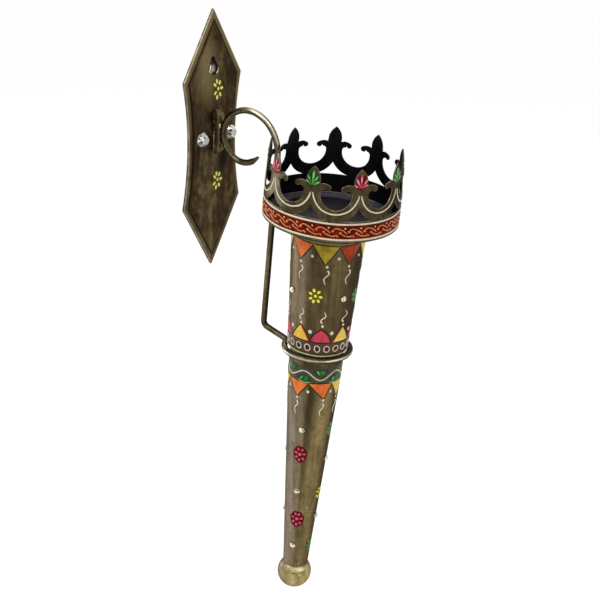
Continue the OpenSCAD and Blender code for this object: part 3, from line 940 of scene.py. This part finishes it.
def make_crown():
    piece = Piece()
    hand = random.Random(3)
    bevel = 0.25
    glare = around((112, 0), (130, 0.7), (163, 0.7), (180, 0), (318, 0), (332, 0.45), (350, 0.45), (8, 0))

    def upper_half(sway):
        reach = ARM_REACH + hand.uniform(-0.9, 0.2)
        lobe, drop, bud = hand.uniform(-0.3, 0.05), hand.uniform(-0.3, 0.3), hand.uniform(-0.3, 0)
        line = [chord_to_arc(p) for p in crown_half(reach, LOBE_R + lobe, 0.8 + drop, BUD_W + bud)]
        line[0], line[-1] = (BAY, line[0][1]), (0.0, line[-1][1])
        line = resample(clean(line), 1.2, closed=False)
        return [(x + sway * clamp((y - 26) / 20) ** 1.5, y) for x, y in line]

    def place(a0, x, y, h):
        return on_crown(a0 + degrees(x / CROWN_R), -y, h)

    for a0 in (CROWN_TURN + i * 360 / FINIALS for i in range(FINIALS)):
        sway = hand.uniform(-0.8, 0.8)
        right = upper_half(sway)
        left = upper_half(-sway)
        lower = [(-BAY + 2 * BAY * k / 34, -BAND_H) for k in range(35)]
        side = [(BAY, -BAND_H + (right[0][1] + BAND_H) * k / 16) for k in range(1, 16)]
        outline = lower + side + right + mirrored(left[:-1]) + mirrored(side)
        # Pointed opening under the stem
        reach = BAY_R + CRESCENT
        ends = 180 + degrees(asin((BAY_Z - 1.2) / reach)), 180 + degrees(acos(HALF_BAY / reach))
        arch = [chord_to_arc(p) for p in arc(HALF_BAY, BAY_Z, reach, *ends, 14)]
        arch[-1] = (0.0, arch[-1][1])
        arch = resample(arch + mirrored(arch[:-1]), 1.3)
        front, hole = drawn_in(outline, bevel), inset(arch, -bevel)
        verts, faces = triangles(front, hole, 1.9)
        pale = [glare(a0 + degrees(x / CROWN_R)) for x, _ in verts]
        piece.patch([place(a0, x, y, 0) for x, y in verts], faces, CROWN_METAL, pale=pale)
        piece.patch([place(a0, x, y, -SHEET) for x, y in verts], faces, CROWN_METAL, dark=1.0)
        # Cut edges, left out where the next period joins
        for loop, inner in ((outline, front), (arch, hole)):
            n = len(loop)
            rows = [(inner, 0), (loop, -bevel), (loop, bevel - SHEET), (inner, -SHEET)]
            verts = [place(a0, x, y, h) for line, h in rows for x, y in line]
            on_side = [abs(abs(x) - BAY) < 1e-6 for x, _ in loop]
            joins = [on_side[j] and abs(loop[j][0] - loop[(j + 1) % n][0]) < 1e-6 for j in range(n)]
            quads = [f for i, f in enumerate(grid_faces(4, n, True)) if not joins[i % n]]
            # Front cut edges lighter, as worn metal and painted highlight
            wear = [v for v in (0.2, 0.85, 0.2, 0.0) for _ in loop]
            dark = [v for v in (0.0, 0.1, 0.9, 1.0) for _ in loop]
            piece.patch(verts, quads, CROWN_METAL, wear=wear, dark=dark)
    piece.make("crown_shell", "torch", "torch_sheet", ("crown_gallery",), sharp=42, merge=0.012)


# Pan, tubes and ball
def turned(name, node, mat, profile, steps, slot="torch_sheet", sharp=50, **flags):
    """Turns (radius, distance down) points about the torch's axis.

    A flag is a list with a value for each row, or a function of the angle and the distance down.
    """
    rows = [[torch(r * cos(a), r * sin(a), -t) for a in turns(steps)] for r, t in profile]
    for key, value in flags.items():
        if callable(value):
            flags[key] = [value(360 * k / steps, t) for _, t in profile for k in range(steps)]
        else:
            flags[key] = [x for x in value for _ in range(steps)]
    piece = Piece()
    piece.grid(rows, mat, True, **flags)
    piece.make(name, "torch", slot, (node,), sharp=sharp)


def make_pan():
    rim_x, rim_z = CROWN_R - RIM_R + RIM_OVER, BAND_H + 0.8 * RIM_R
    wall = rim_x - RIM_R
    top = [(r, FLOOR_T) for r in (0.01, 20, 40, 52, wall - PAN_SIDE)]
    top += [(wall - PAN_SIDE + 1.2, FLOOR_T - 0.3), (wall - 1.0, rim_z + 0.6)]
    angles = np.radians([*np.linspace(180, 126.9, 6), *np.linspace(53.1, -100, 20)])
    rim = [(rim_x + RIM_R * cos(a), rim_z - RIM_R * sin(a)) for a in angles]
    under = [(r, FLOOR_UNDER) for r in (rim_x - PAN_SIDE, 45, SLEEVE_TOP_R, 0.01)]
    profile = top + rim + under
    seen = len(top) + 6
    dark = [1.0] * seen + [0.0] * (len(profile) - seen)
    # A small painted highlight on the rolled rim
    wear = [0.0] * seen + [0.2] * 12 + [0.0] * (len(profile) - seen - 12)
    turned("pan_dish", "drip_pan", PAN_METAL, profile, 180, "dark_sheet", 35, dark=dark, wear=wear)


def make_tubes():
    # Painted sheen on two sides of the sleeve and neck, and painted shade in bands round them
    pale = around(
        (108, 0), (124, 0.75), (182, 0.7), (193, 0.15), (206, 0),
        (316, 0), (330, 0.5), (352, 0.45), (6, 0), (60, 0.2),
    )
    grime = around(
        (182, 0), (196, 0.4), (206, 0.26), (222, 0.1), (246, 0.2), (270, 0.4), (296, 0.8),
        (314, 0.4), (350, 0), (9, 0.5), (28, 0.1), (85, 0.5), (104, 0.1),
    )
    profile = [(SLEEVE_TOP_R - SHEET, FLOOR_UNDER), (SLEEVE_TOP_R, FLOOR_UNDER)]
    profile += [(sleeve_r(t), t) for t in np.linspace(FLOOR_UNDER + 0.1, SLEEVE_END - 1.0, 60)]
    profile += [(SLEEVE_BOTTOM_R + 0.02, SLEEVE_END - 0.6), (SLEEVE_BOTTOM_R - 0.15, SLEEVE_END - 0.15)]
    profile += [(SLEEVE_BOTTOM_R - 0.5, SLEEVE_END), (NECK_R, SLEEVE_END)]
    # The sleeve's turned-in edge is lighter, as worn metal and painted highlight
    wear = [0.0] * (len(profile) - 5) + [0.4, 0.6, 0.6, 0.2, 0.0]
    turned("sleeve_tube", "torch_sleeve", TORCH_METAL, profile, 160, wear=wear, pale=pale, grime=grime)
    ends = (SLEEVE_END - 6, *np.linspace(SLEEVE_END, CONE_START - 0.3, 16))
    profile = [(NECK_R, t) for t in ends] + [(NECK_R - 0.35, CONE_START)]
    turned("neck_shell", "neck_tube", TORCH_METAL, profile, 140, pale=pale, grime=grime)
    cone_end = CONE_START + CONE_LEN
    profile = [(NECK_R - 0.6, CONE_START - 0.05), (NECK_R - 0.1, CONE_START)]
    down = (CONE_START + 0.5, *np.linspace(CONE_START + 2, cone_end - 0.2, 70))
    profile += [(cone_r(t), t) for t in down] + [(CONE_BOTTOM_R - 0.4, cone_end + 1.2)]
    # Both ends of the cone lighter, as worn metal and painted highlight
    wear = [0.0, 0.5, 0.5] + [0.0] * (len(profile) - 6) + [0.1, 0.5, 0.6]
    # Painted sheen on two sides of the cone, and painted shade in bands round it
    pale = around(
        (110, 0), (126, 0.95), (162, 0.95), (185, 0.62), (200, 0.3), (211, 0),
        (300, 0), (322, 0.7), (350, 0.8), (14, 0.6), (24, 0),
    )
    grime = around(
        (118, 0.1), (196, 0), (207, 0.6), (215, 0.36), (228, 0.05), (254, 0), (266, 0.35), (279, 1.0),
        (309, 1.0), (322, 0.2), (18, 0), (27, 0.6), (40, 0.1), (80, 0), (96, 0.75), (108, 0.3),
    )

    # Painted shade in bands, lighter lower down, with a dark painted stripe near the top
    def cone_soot(a, t):
        low = clamp((t - 200) / 130)
        return min(1.0, grime(a) * (1 - 0.4 * low) + 0.4 * (1 - low) * bell(a - 215, 9))

    turned("cone_shell", "handle_cone", CONE_METAL, profile, 160, wear=wear, pale=pale, grime=cone_soot)


def make_ball():
    def row(t):
        """Rows up from the ball's equator: 24 at the upper pole, -24 at the lower."""
        return 24 * asin(max(-1.0, min(1.0, (BALL_T - t) / BALL_R))) / (pi / 2)

    # A painted glint on the upper ball, below the cone
    def rubbed(a, t):
        return 0.1 + 0.85 * bell(row(t) - 9.4, 1.7) * bell(a - 232 + 9 * sin(2 * row(t)), 19)

    def seam(a, t):
        broken = 0.35 + 0.65 * (sin(a * 0.21) > -0.7)
        return (0.45 + 0.45 * bell(a - 205, 34)) * broken if abs(row(t) - 6) < 0.5 else 0.0

    # Painted sheen on two sides of the ball and low down
    def dull(a, t):
        return min(1.0, 0.95 * bell(a - 140, 44) + 0.8 * bell(a - 318, 22) + 0.6 * bell(row(t) + 19, 5))

    half = [(BALL_R - 1.2, 0.02), (BALL_R - 0.1, 0.03), (BALL_R - 0.01, 0.12)]
    half += [(max(BALL_R * cos(a), 0.02), BALL_R * sin(a)) for a in np.linspace(0, pi / 2, 25)[1:]]
    for name, node, sign in (("ball_cap_upper", "ball_upper", -1), ("ball_cap_lower", "ball_lower", 1)):
        profile = [(r, BALL_T + sign * h) for r, h in half]
        turned(name, node, BALL_METAL, profile, 96, "ball_brass", wear=rubbed, grime=seam, pale=dull)


# Crystals
def gem(piece, mat, origin, out, r, h, turn, tones):
    """A cut stone with table, star, main and girdle facets."""
    n = Vector(out).normalized()
    e1 = n.orthogonal().normalized()
    e2 = n.cross(e1)
    sides = 8

    def ring(radius, height, count, shift=0.0):
        way = [turn + 2 * pi * (k * sides / count + shift) / sides for k in range(count)]
        return [Vector(origin) + e1 * (radius * cos(a)) + e2 * (radius * sin(a)) + n * height for a in way]

    table, upper = ring(0.5 * r, h, sides), ring(0.76 * r, 0.74 * h, sides, 0.5)
    girdle, foot = ring(0.99 * r, 0.27 * h, 2 * sides), ring(0.99 * r, 0.0, 2 * sides)
    faces = [table]
    for k in range(sides):
        faces.append([table[k], upper[k], table[(k + 1) % sides]])
        faces.append([table[k], upper[k - 1], girdle[2 * k], upper[k]])
        faces.append([upper[k], girdle[2 * k], girdle[2 * k + 1]])
        faces.append([upper[k], girdle[2 * k + 1], girdle[(2 * k + 2) % (2 * sides)]])
    for k in range(2 * sides):
        nxt = (k + 1) % (2 * sides)
        faces.append([girdle[k], foot[k], foot[nxt], girdle[nxt]])
    # Each facet gets a painted reflection tone, the table face a middle one
    for i, f in enumerate(faces):
        piece.patch(f, [tuple(range(len(f)))], mat, facet=rng.choice(tones) if i else tones[2])


def torch_gems():
    glue = Piece()
    small_r, high, tones = 2.9, 2.3, (0.0, 0.3, 0.75, 0.9, 1.0, 1.0)
    on_torch = [(a, 87.0) for a in (66, 154, 252, 342)]
    on_handle = [(a, t) for a in (18, 198) for t in (230, 301, 367)]
    on_handle += [(a, t) for a in (108, 288) for t in (267, 335)]
    for spots, place, name, node in (
        (on_torch, on_sleeve, "sleeve_stones", "sleeve_crystals"),
        (on_handle, on_cone, "handle_stones", "handle_crystals"),
    ):
        stones = Piece()
        for a, t in spots:
            up = Vector(place(a, t, 1.0)) - Vector(place(a, t, 0.0))
            gem(stones, WARM_GLASS, place(a, t, 0.1), up, small_r, high, rng.uniform(0, 1), tones)
            glue.stroke(local(place, a, t), GLUE, oval(3.0, 3.0, 18, 0.8), 0.35, 4, True)
        stones.make(name, "torch", "crystal", (node,), smooth=False)
    glue.make("stone_glue", "torch", "torch_sheet")


def plate_gems():
    stones, glue = Piece(), Piece()
    high, turn, tones = 5.5, 0.2, (0.0, 0.05, 0.4, 0.7, 1.0, 1.0)
    for s in (-1, 1):
        foot, lean = on_plate(s * STONE_X, STONE_Z, 0.1), STONE_X / BULGE_X_R
        out = (s * sin(lean), -cos(lean), 0)
        gem(stones, GLASS, foot, out, STONE_R, high, turn, tones)
        rim = oval(STONE_R + 0.1, STONE_R + 0.1, 30, 1.1)
        glue.stroke(local_plate(s * STONE_X, STONE_Z), GLUE, rim, 0.5, 4, True)
    stones.make("plate_stones", "bracket", "crystal", ("plate_crystals",), smooth=False)
    glue.make("plate_glue", "bracket", "plate_sheet")


# Hand painting: every motif is thick paint laid on the metal
def flower(paint, place, petals, ring, size, mat, halo, turn=0.0, middle=1.15):
    """Oval petals set round a dot over a dark wash."""
    wash, rx, ry = halo
    pts = []
    for k in range(6 * petals):
        a = turn + pi * k / (3 * petals)
        w = 1 + 0.035 * cos(petals * (a - turn)) + jit(0.015)
        pts.append((rx * w * cos(a), ry * w * sin(a)))
    paint.fill(place, wash, pts)
    for k in range(petals):
        a = turn + 2 * pi * k / petals + jit(0.08)
        u, v = ring[0] * cos(a) + jit(0.15), ring[1] * sin(a) + jit(0.2)
        paint.dot(place, mat, u, v, size[0] / 2, size[1] / 2 * (1 + jit(0.1)), 0.55, atan2(v, u))
    paint.dot(place, mat, jit(0.2), jit(0.2), middle, middle * 1.1, 0.6)


def squiggle(paint, place, sway, turned_over=False):
    """A round head whose thin tail swings aside and back; the lower rows stand on their heads."""
    pts = [(0.0, 0.0, 1.8), (1.15, -1.6, 1.45), (1.1, -3.1, 1.2), (-0.2, -4.8, 1.1), (-2.3, -6.5, 1.1)]
    pts += [(-3.6, -8.5, 1.05), (-3.3, -10.8, 0.95), (-2.3, -12.6, 0.8), (-1.5, -13.8, 0.55)]
    f, g = (-1.0, -0.8) if turned_over else (1.0, 1.0)
    pts = [((x * sway + 1.3) * f + jit(0.15), y * g, w) for x, y, w in pts]
    paint.stroke(place, CREAM, smooth_line(pts), 0.5)


def pennant(paint, spot, left, right, drop, mat, up=-1.0, bow=0.0, heart=None, rim=None):
    """A painted triangle over a painted shadow round its edge, sometimes with a lighter heart, sometimes with
    a thin yellow rim.
    """

    def side(width, sign):
        way = [k / 6 for k in range(7)]
        across = [width + (0.6 - width) * k / 6 + bow * sin(pi * k / 6) for k in range(7)]
        return [(sign * x, up * drop * s) for x, s in zip(across, way)]

    top = [(-left + (left + right) * k / 7, jit(0.1)) for k in range(1, 7)]
    outline = [(-left, 0.0)] + top + side(right, 1) + side(left, -1)[:0:-1]
    # Painted shadow: a dark brown rim round the triangle
    paint.fill(spot, OUTLINE, inset(outline, -1.25), 0.07)
    paint.fill(spot, mat, outline, 0.15)
    if heart:
        colour, shift = heart
        paint.fill(spot, colour, [(x * 0.92 + shift, y * 0.93 + up * 0.3) for x, y in outline], 0.24)
    if rim:
        for sign, width in ((1, right), (-1, left)):
            paint.stroke(spot, rim, [(x - sign * 0.35, y, 0.55) for x, y in side(width, sign)], 0.3, 3)


def spot_dot(paint, place, a, t, mat, rx, ry, height=0.5):
    paint.dot(local(place, a, t), mat, 0, 0, rx, ry, height)


def paint_sleeve():
    paint = Piece()
    strip = ((22.4, -0.02), (23.0, 0.06), (28, 0.06), (33.2, 0.06), (34.6, -0.02))
    paint.coat(on_sleeve, KHAKI, strip, drift=lambda k, t: 0.5 * sin(k * 0.35) if t > 30 else 0.0)
    row_t = 33.6
    # Hanging points, as (degrees, paint, degrees that the marks under it stand aside)
    tops = [(131, GOLD_YELLOW, 0), (171.5, ORANGE, 1.2), (214.5, MUSTARD, 3.0), (253.5, RED_ORANGE, 0.4)]
    tops += [(293, GOLD_YELLOW, 1), (333, ORANGE, 0), (13, MUSTARD, 1), (53, RED_ORANGE, 2), (92, ORANGE, 0)]
    for i, (a, mat, aside) in enumerate(tops):
        gap, before = ((tops[(i + 1) % 9][0] - a) % 360) / 2, ((a - tops[i - 1][0]) % 360) / 2
        left, right = (radians(part) * sleeve_r(row_t) - 0.1 for part in (before, gap))
        rim = MUSTARD if mat is not MUSTARD else PALE_YELLOW
        pennant(paint, local(on_sleeve, a, row_t), left, right, 17.0, mat, rim=rim)
        spot_dot(paint, on_sleeve, a + gap + jit(0.8), 45.5, CREAM, 1.4, 1.5)
        spot_dot(paint, on_sleeve, a + aside, 54, CREAM, 1.3, 1.45)
        squiggle(paint, local(on_sleeve, a + aside, 58.0), 0.85 + jit(0.15))
    # Standing points, yellow and pink in turn
    lows = [(100, YELLOW), (140, PINK), (180, GOLD_YELLOW), (219.5, PINK), (260, YELLOW), (300, PINK)]
    lows += [(340, GOLD_YELLOW), (20, PINK), (60, GOLD_YELLOW)]
    for i, (a, mat) in enumerate(lows):
        spot = local(on_sleeve, a, 131.8)
        if mat is PINK:
            pennant(paint, spot, 9.8, 9.8, 13.4, DEEP_PINK, 1.0, 1.9, (PINK, jit(0.4)))
        else:
            pennant(paint, spot, 9.3, 9.3, 14.6, ORANGE, 1.0, 0.5, (mat, -0.55 if i % 4 else 0.6))
        spot_dot(paint, on_sleeve, a + 19 + jit(0.6), 121.8, CREAM, 1.8, 2.0)
        spot_dot(paint, on_sleeve, a + 0.8, 114.6, CREAM, 1.3, 1.45)
        squiggle(paint, local(on_sleeve, a + 1.4, 110.8), 0.9 + jit(0.15), True)
    yellow, green = (84.5, PALE_YELLOW, HALO), (88.0, LEAF, DARK_GREEN)
    for a, (t, mat, wash) in ((203, yellow), (285, green), (28, yellow), (105, green)):
        flower(paint, local(on_sleeve, a, t), 7, (4.9, 5.6), (3.9, 2.7), mat, (wash, 6.3, 7.2), 0.02, 1.5)
    # Collar of ring dots above the sleeve's edge
    ground = ((133.4, -SINK), (133.8, 0.07), (137, 0.07), (141, 0.07), (145.0, 0.07), (145.4, -SINK))
    paint.coat(on_sleeve, COLLAR, ground, 180)
    for k in range(20):
        spot = local(on_sleeve, 196.6 + 18 * k + jit(0.5), 138.6 + jit(0.2))
        paint.dot(spot, OUTLINE if k % 3 == 1 else BEAD_RED, 0, 0, 2.5, 3.0, 0.2)
        wide, tall, slant = 2.6 + jit(0.15), 3.2 + jit(0.25), jit(0.5)
        loop = [(wide * cos(b) + slant * sin(b), tall * sin(b), 1.15 + jit(0.25)) for b in turns(20)]
        paint.stroke(spot, BLUSH, loop, 0.5, 5, True)
    paint.ring_line(on_sleeve, STRAW, 146.1, 1.6)
    paint.make("sleeve_paint", "torch", "torch_sheet")


def paint_neck():
    paint = Piece()
    ground = ((160.2, -SINK), (160.8, 0.06), (166, 0.06), (171, 0.06), (175.8, 0.06), (176.4, -SINK))
    paint.coat(on_neck, WREATH, ground)
    # Wavy stem with five crests, a leaf in every hollow
    per, waves, crest = degrees(1 / NECK_R), 5, 193
    way = [360 * k / 150 for k in range(151)]
    stem = [(a / per, 4.0 * cos(radians(waves * (a - crest))), 1.25) for a in way]
    paint.stroke(local(on_neck, 0, 169), CREAM, stem, 0.45, 5)
    wash = [(-8.6, -2.2), (-5.6, 1.6), (-1.8, 4.1), (1.8, 4.1), (5.6, 1.7), (8.6, -2.2)]
    wash += [(4.8, -3.6), (0, -4.0), (-4.8, -3.6)]
    leaf = [(-6.9, -2.0), (-4.0, 1.0), (-1.0, 3.2), (1.6, 3.2), (4.6, 1.2), (7.0, -1.8)]
    leaf += [(3.8, -2.8), (0, -3.1), (-3.8, -2.8)]
    veins = ((-4.4, 2.2, GREEN), (-2.4, 4.0, MINT), (-0.2, 4.9, GREEN), (2.1, 4.2, LEAF), (4.3, 2.4, GREEN))
    under = [(-7.0, -3.2, 0.5), (-3.4, -4.0, 0.8), (0, -4.2, 0.8), (3.4, -4.0, 0.8), (7.0, -3.2, 0.5)]
    for k in range(waves):
        for a, t, sign in ((crest + 72 * k, 172.3, 1), (crest + 36 + 72 * k, 165.4, -1)):
            spot = local(on_neck, a, t)
            paint.fill(spot, DARK_GREEN, [(x, y * sign) for x, y in wash])
            paint.fill(spot, DEEP_LEAF, [(x, y * sign) for x, y in leaf], 0.2)
            for u, tall, mat in veins:
                pts = [(u - 1.1, -2.3, 0.6), (u - 0.2, -2.3 + tall * 0.55, 1.2), (u + 0.9, -2.3 + tall, 0.5)]
                paint.stroke(spot, mat, smooth_line([(x, y * sign, w) for x, y, w in pts]), 0.45)
            if sign > 0:
                paint.stroke(spot, MINT, smooth_line(under), 0.35, 4)
    for t in (159.2, 161.2):
        paint.ring_line(on_neck, COLLAR, t, 0.6, 0.3)
    paint.make("neck_paint", "torch", "torch_sheet")


def paint_cone():
    paint = Piece()
    # Hanging points, as (degrees where it starts, degrees of its tip, paint)
    tips = [(104, 128, GOLD_YELLOW), (154, 179, ORANGE), (204.5, 240.5, ORANGE), (257, 280, GOLD_YELLOW)]
    tips += [(305, 331, ORANGE), (357, 24, ORANGE), (50, 76, ORANGE)]
    for i, (start, a, mat) in enumerate(tips):
        end = tips[(i + 1) % len(tips)][0]
        left, right = (radians(part % 360) * NECK_R - 0.1 for part in (a - start, end - a))
        rim = MUSTARD if mat is ORANGE else None
        pennant(paint, local(on_cone, a, CONE_START + 0.5), left, right, 15.8, mat, rim=rim)
        spot_dot(paint, on_cone, end, 186.5, CREAM, 1.35, 1.7)
        spot_dot(paint, on_cone, a + 0.5, 195.4, CREAM, 1.3, 1.5)
        squiggle(paint, local(on_cone, a - 2, 199.4), 0.7)
    for a, t in ((18, 258), (25, 334.5), (198, 258), (205, 334.5)):
        flower(paint, local(on_cone, a, t), 7, (4.4, 6.2), (3.6, 2.5), ROSE, (CRIMSON, 7.2, 9.8), 0.2, 1.7)
    for a in (100, 280):
        flower(paint, local(on_cone, a, 232), 7, (3.9, 5.2), (3.0, 2.2), LEAF, (DARK_GREEN, 5.6, 7.4))
        flower(paint, local(on_cone, a, 306), 7, (3.9, 5.2), (3.0, 2.2), PALE_YELLOW, (HALO, 5.6, 7.4))
        flower(paint, local(on_cone, a - 5, 369), 6, (3.6, 4.8), (2.9, 2.1), LEAF, (DARK_GREEN, 5.2, 6.8))
    spot_dot(paint, on_cone, 235, 320, TAN, 1.5, 1.3, 0.3)
    spot_dot(paint, on_cone, 55, 283, TAN, 1.3, 1.3, 0.3)
    paint.make("cone_paint", "torch", "torch_sheet")


def paint_band():
    paint = Piece()
    ground = [(1.4, -SINK), (2.0, 0.07), (5, 0.07), (8, 0.07), (11, 0.07), (14.6, 0.07), (15.4, -SINK)]
    paint.coat(on_crown, BAND_RED, ground, 240)
    over = [(0.4, 6.9), (1.4, 5.8), (2.8, 5.2), (4.6, 5.3), (6.3, 5.8), (9.3, 7.1), (11.4, 8.7), (12.6, 9.8)]
    under = [(7.4, 10.0), (8.6, 10.6), (11.2, 11.7), (14.3, 12.4), (16.8, 11.9), (18.2, 10.9)]
    repeats = 27
    for k in range(repeats):
        spot = local(on_crown, 204.2 + 360 * k / repeats, 0)
        for pts in (over, under):
            widths = [0.6] + [0.95] * (len(pts) - 2) + [0.6]
            pts = [(x + jit(0.12), -t + jit(0.12), w) for (x, t), w in zip(pts, widths)]
            paint.stroke(spot, SCROLL, smooth_line(pts), 0.4, 5)
        paint.dot(spot, SALMON, 0, -7.7, 1.25, 1.15)
        paint.dot(spot, SALMON, 6.8, -9.2, 1.2, 1.15)
        paint.dot(spot, CREAM, 10.8, -4.9 + jit(0.2), 0.75, 0.75, 0.4)
        paint.dot(spot, SCROLL, 4.3, -12.2 + jit(0.2), 0.8, 0.75, 0.4)
    paint.ring_line(on_crown, CREAM, 1.2, 1.75, 0.4, 0.12, 240)
    paint.ring_line(on_crown, CREAM, 15.6, 1.9, 0.4, 0.1, 240)
    paint.make("band_paint", "torch", "torch_sheet")


def paint_crown():
    paint = Piece()
    # Half of the cream swag round a bay, which meets its neighbour in a cusp on each stem
    half = [(0, 7.4), (4, 7.7), (8, 8.9), (11.5, 10.5)]
    half += [(14.8, 13.2), (17.6, 16.8), (19.6, 20.8), (20.6, 24.6)]
    swag = [(BAY - x, y, 1.35) for x, y in reversed(half)] + [(BAY + x, y, 1.35) for x, y in half[1:]]
    swag[0], swag[-1] = (*swag[0][:2], 0.8), (*swag[-1][:2], 0.8)
    lens = [(0, 29.6), (3.4, 30.4), (5.4, 33.0), (5.9, 36.5), (4.9, 40.2), (2.8, 42.6), (0, 43.6)]
    lens += mirrored(lens[1:-1])
    foot = 30.8
    red, green = (CRIMSON, PINK, ROSE, BLUSH), (DARK_GREEN, LEAF, GREEN, MINT)

    def petal(spot, angle, inner, outer, width, mat, height):
        """Lays a teardrop that points from the bud's foot outwards."""
        line = []
        for k, w in ((0.0, 0.3), (0.3, 0.6), (0.6, 0.95), (0.85, 1.0), (1.0, 0.8)):
            d = inner + (outer - inner) * k
            line.append((cos(angle) * d, foot + sin(angle) * d, width * w))
        paint.stroke(spot, mat, line, height)

    for i in range(FINIALS):
        spot = local(on_crown, CROWN_TURN + i * 360 / FINIALS, 0)
        paint.stroke(spot, CREAM, smooth_line(swag), 0.45, 5)
        ground, mark, second, light = red if i % 2 else green
        paint.fill(spot, ground, lens, 0.1, 1.8)
        # Petals as (degrees, reach, width, paint)
        side, low = (9.8, 2.3, second), (6.9, 2.1, mark)
        petals = ((90, 12.2, 2.6, mark), (61, *side), (119, *side), (32, *low), (148, *low))
        for angle, reach, wide, mat in petals:
            angle = radians(angle + jit(3))
            petal(spot, angle, 1.4, reach, wide, mat, 0.5)
            petal(spot, angle + 0.03, 3.0 + reach * 0.12, reach * 0.9, 1.05, light, 0.8)
    paint.make("crown_paint", "torch", "torch_sheet")


def paint_plate():
    paint = Piece()
    ring = ((-1.5, 6.6), (2.9, 5.0), (-4.4, 3.5), (5.4, -0.4), (-4.4, -4.2), (2.9, -6.9), (-1.5, -8.9))
    for x, z, grow in ((1.9, 51.4, 0.95), (1.6, -37.2, 0.9)):
        spot = local_plate(x, z)
        wash = [(u, v - 1.0) for u, v in oval(7.5, 10.0, 32)]
        paint.fill(spot, HALO, [(u * (1 + jit(0.06)), v * (1 + jit(0.05))) for u, v in wash], 0.24)
        for u, v in ring:
            u, v = u * grow + jit(0.3), v * grow + jit(0.3)
            paint.dot(spot, LEMON, u, v, 2.45, 1.5, 0.7, atan2(v + 0.8, u))
        paint.dot(spot, LEMON, 0.3, -0.5, 1.5, 2.0, 0.75)
    paint.make("plate_paint", "bracket", "plate_sheet")


# The order of making is the order of the random draws
for make in (
    make_plate, make_burr, make_rod, make_ring, make_saddle, make_crown, make_pan, make_tubes, make_ball,
    torch_gems, plate_gems, paint_sleeve, paint_neck, paint_cone, paint_band, paint_crown, paint_plate,
):
    make()


# Floor, light and camera
def seen_directly(tree, unseen, seen):
    """One strength for rays from the camera, mirrors and glass, another for the light on the surfaces."""
    path = tree.nodes.new("ShaderNodeLightPath")
    value = path.outputs["Is Camera Ray"]
    for name in ("Is Glossy Ray", "Is Transmission Ray"):
        either = tree.nodes.new("ShaderNodeMath")
        either.operation = "MAXIMUM"
        tree.links.new(value, either.inputs[0])
        tree.links.new(path.outputs[name], either.inputs[1])
        value = either.outputs[0]
    span = tree.nodes.new("ShaderNodeMapRange")
    span.inputs["To Min"].default_value = unseen
    span.inputs["To Max"].default_value = seen
    tree.links.new(value, span.inputs["Value"])
    return span.outputs[0]


def make_stage():
    floor = Shader("floor_pale", Base_Color=(0.86, 0.86, 0.86, 1), Roughness=0.9, Specular_IOR_Level=0.0)
    floor.set("Emission Color", (1, 1, 1, 1))
    floor.set("Emission Strength", seen_directly(floor.tree, 0.0, 0.45))
    mesh = bpy.data.meshes.new("floor")
    z, r = -0.62, 12.0
    mesh.from_pydata([(-r, -r, z), (r, -r, z), (r, r, z), (-r, r, z)], [], [(0, 1, 2, 3)])
    mesh.materials.append(floor.mat)
    obj = bpy.data.objects.new("floor", mesh)
    scene.collection.objects.link(obj)
    scene.world = bpy.data.worlds.new("studio")
    scene.world.use_nodes = True
    tree = scene.world.node_tree
    back = tree.nodes["Background"]
    back.inputs["Color"].default_value = (1, 1, 1, 1)
    tree.links.new(seen_directly(tree, 0.62, 1.0), back.inputs["Strength"])


def toward(turn, rise):
    """A direction, from degrees round and degrees up."""
    a, e = radians(turn), radians(rise)
    return Vector((cos(a) * cos(e), sin(a) * cos(e), sin(e)))


def lamp(name, direction, distance, size, power):
    """A round lamp that looks at the middle of the object."""
    data = bpy.data.lights.new(name, "AREA")
    data.shape = "DISK"
    data.size = size
    data.energy = power
    obj = bpy.data.objects.new(name, data)
    d = direction.normalized()
    obj.location = Vector((0.0, -0.1, -0.16)) + d * distance
    obj.rotation_euler = (-d).to_track_quat("-Z", "Y").to_euler()
    scene.collection.objects.link(obj)


def make_camera():
    """The camera that was fitted to the photo, and lamps that stand about its view."""
    around_z, rise, roll, focal, pixels = radians(-53.05), radians(22.38), radians(2.10), 1370.006, 600
    back = Vector((sin(around_z) * cos(rise), -cos(around_z) * cos(rise), sin(rise)))
    level = Vector((cos(around_z), sin(around_z), 0))
    high = back.cross(level)
    right, up = cos(roll) * level + sin(roll) * high, -sin(roll) * level + cos(roll) * high
    data = bpy.data.cameras.new("camera")
    data.sensor_width = 36
    data.lens = focal * 36 / pixels
    obj = bpy.data.objects.new("camera", data)
    rot = Matrix((right, up, back)).transposed().to_4x4()
    obj.matrix_world = Matrix.Translation((-0.95405, -0.83094, 0.35877)) @ rot
    scene.collection.objects.link(obj)
    scene.camera = obj
    lamp("key", back * 0.9 - right * 1.0 + up * 0.9, 1.3, 0.45, 5.0)
    lamp("fill", back * 0.8 + right * 1.1 + up * 0.1, 1.6, 1.0, 1.2)
    lamp("top", up * 1.0 - back * 0.3, 1.4, 0.8, 2.5)
    lamp("glint", back * 1.0 + up * 0.95 + right * 0.15, 1.3, 0.14, 0.9)
    lamp("low_front", toward(253, -20), 1.2, 0.4, 1.4)
    lamp("low_wall", toward(100, -15), 1.2, 0.5, 1.2)


make_stage()
make_camera()
scene.view_settings.view_transform = "Standard"
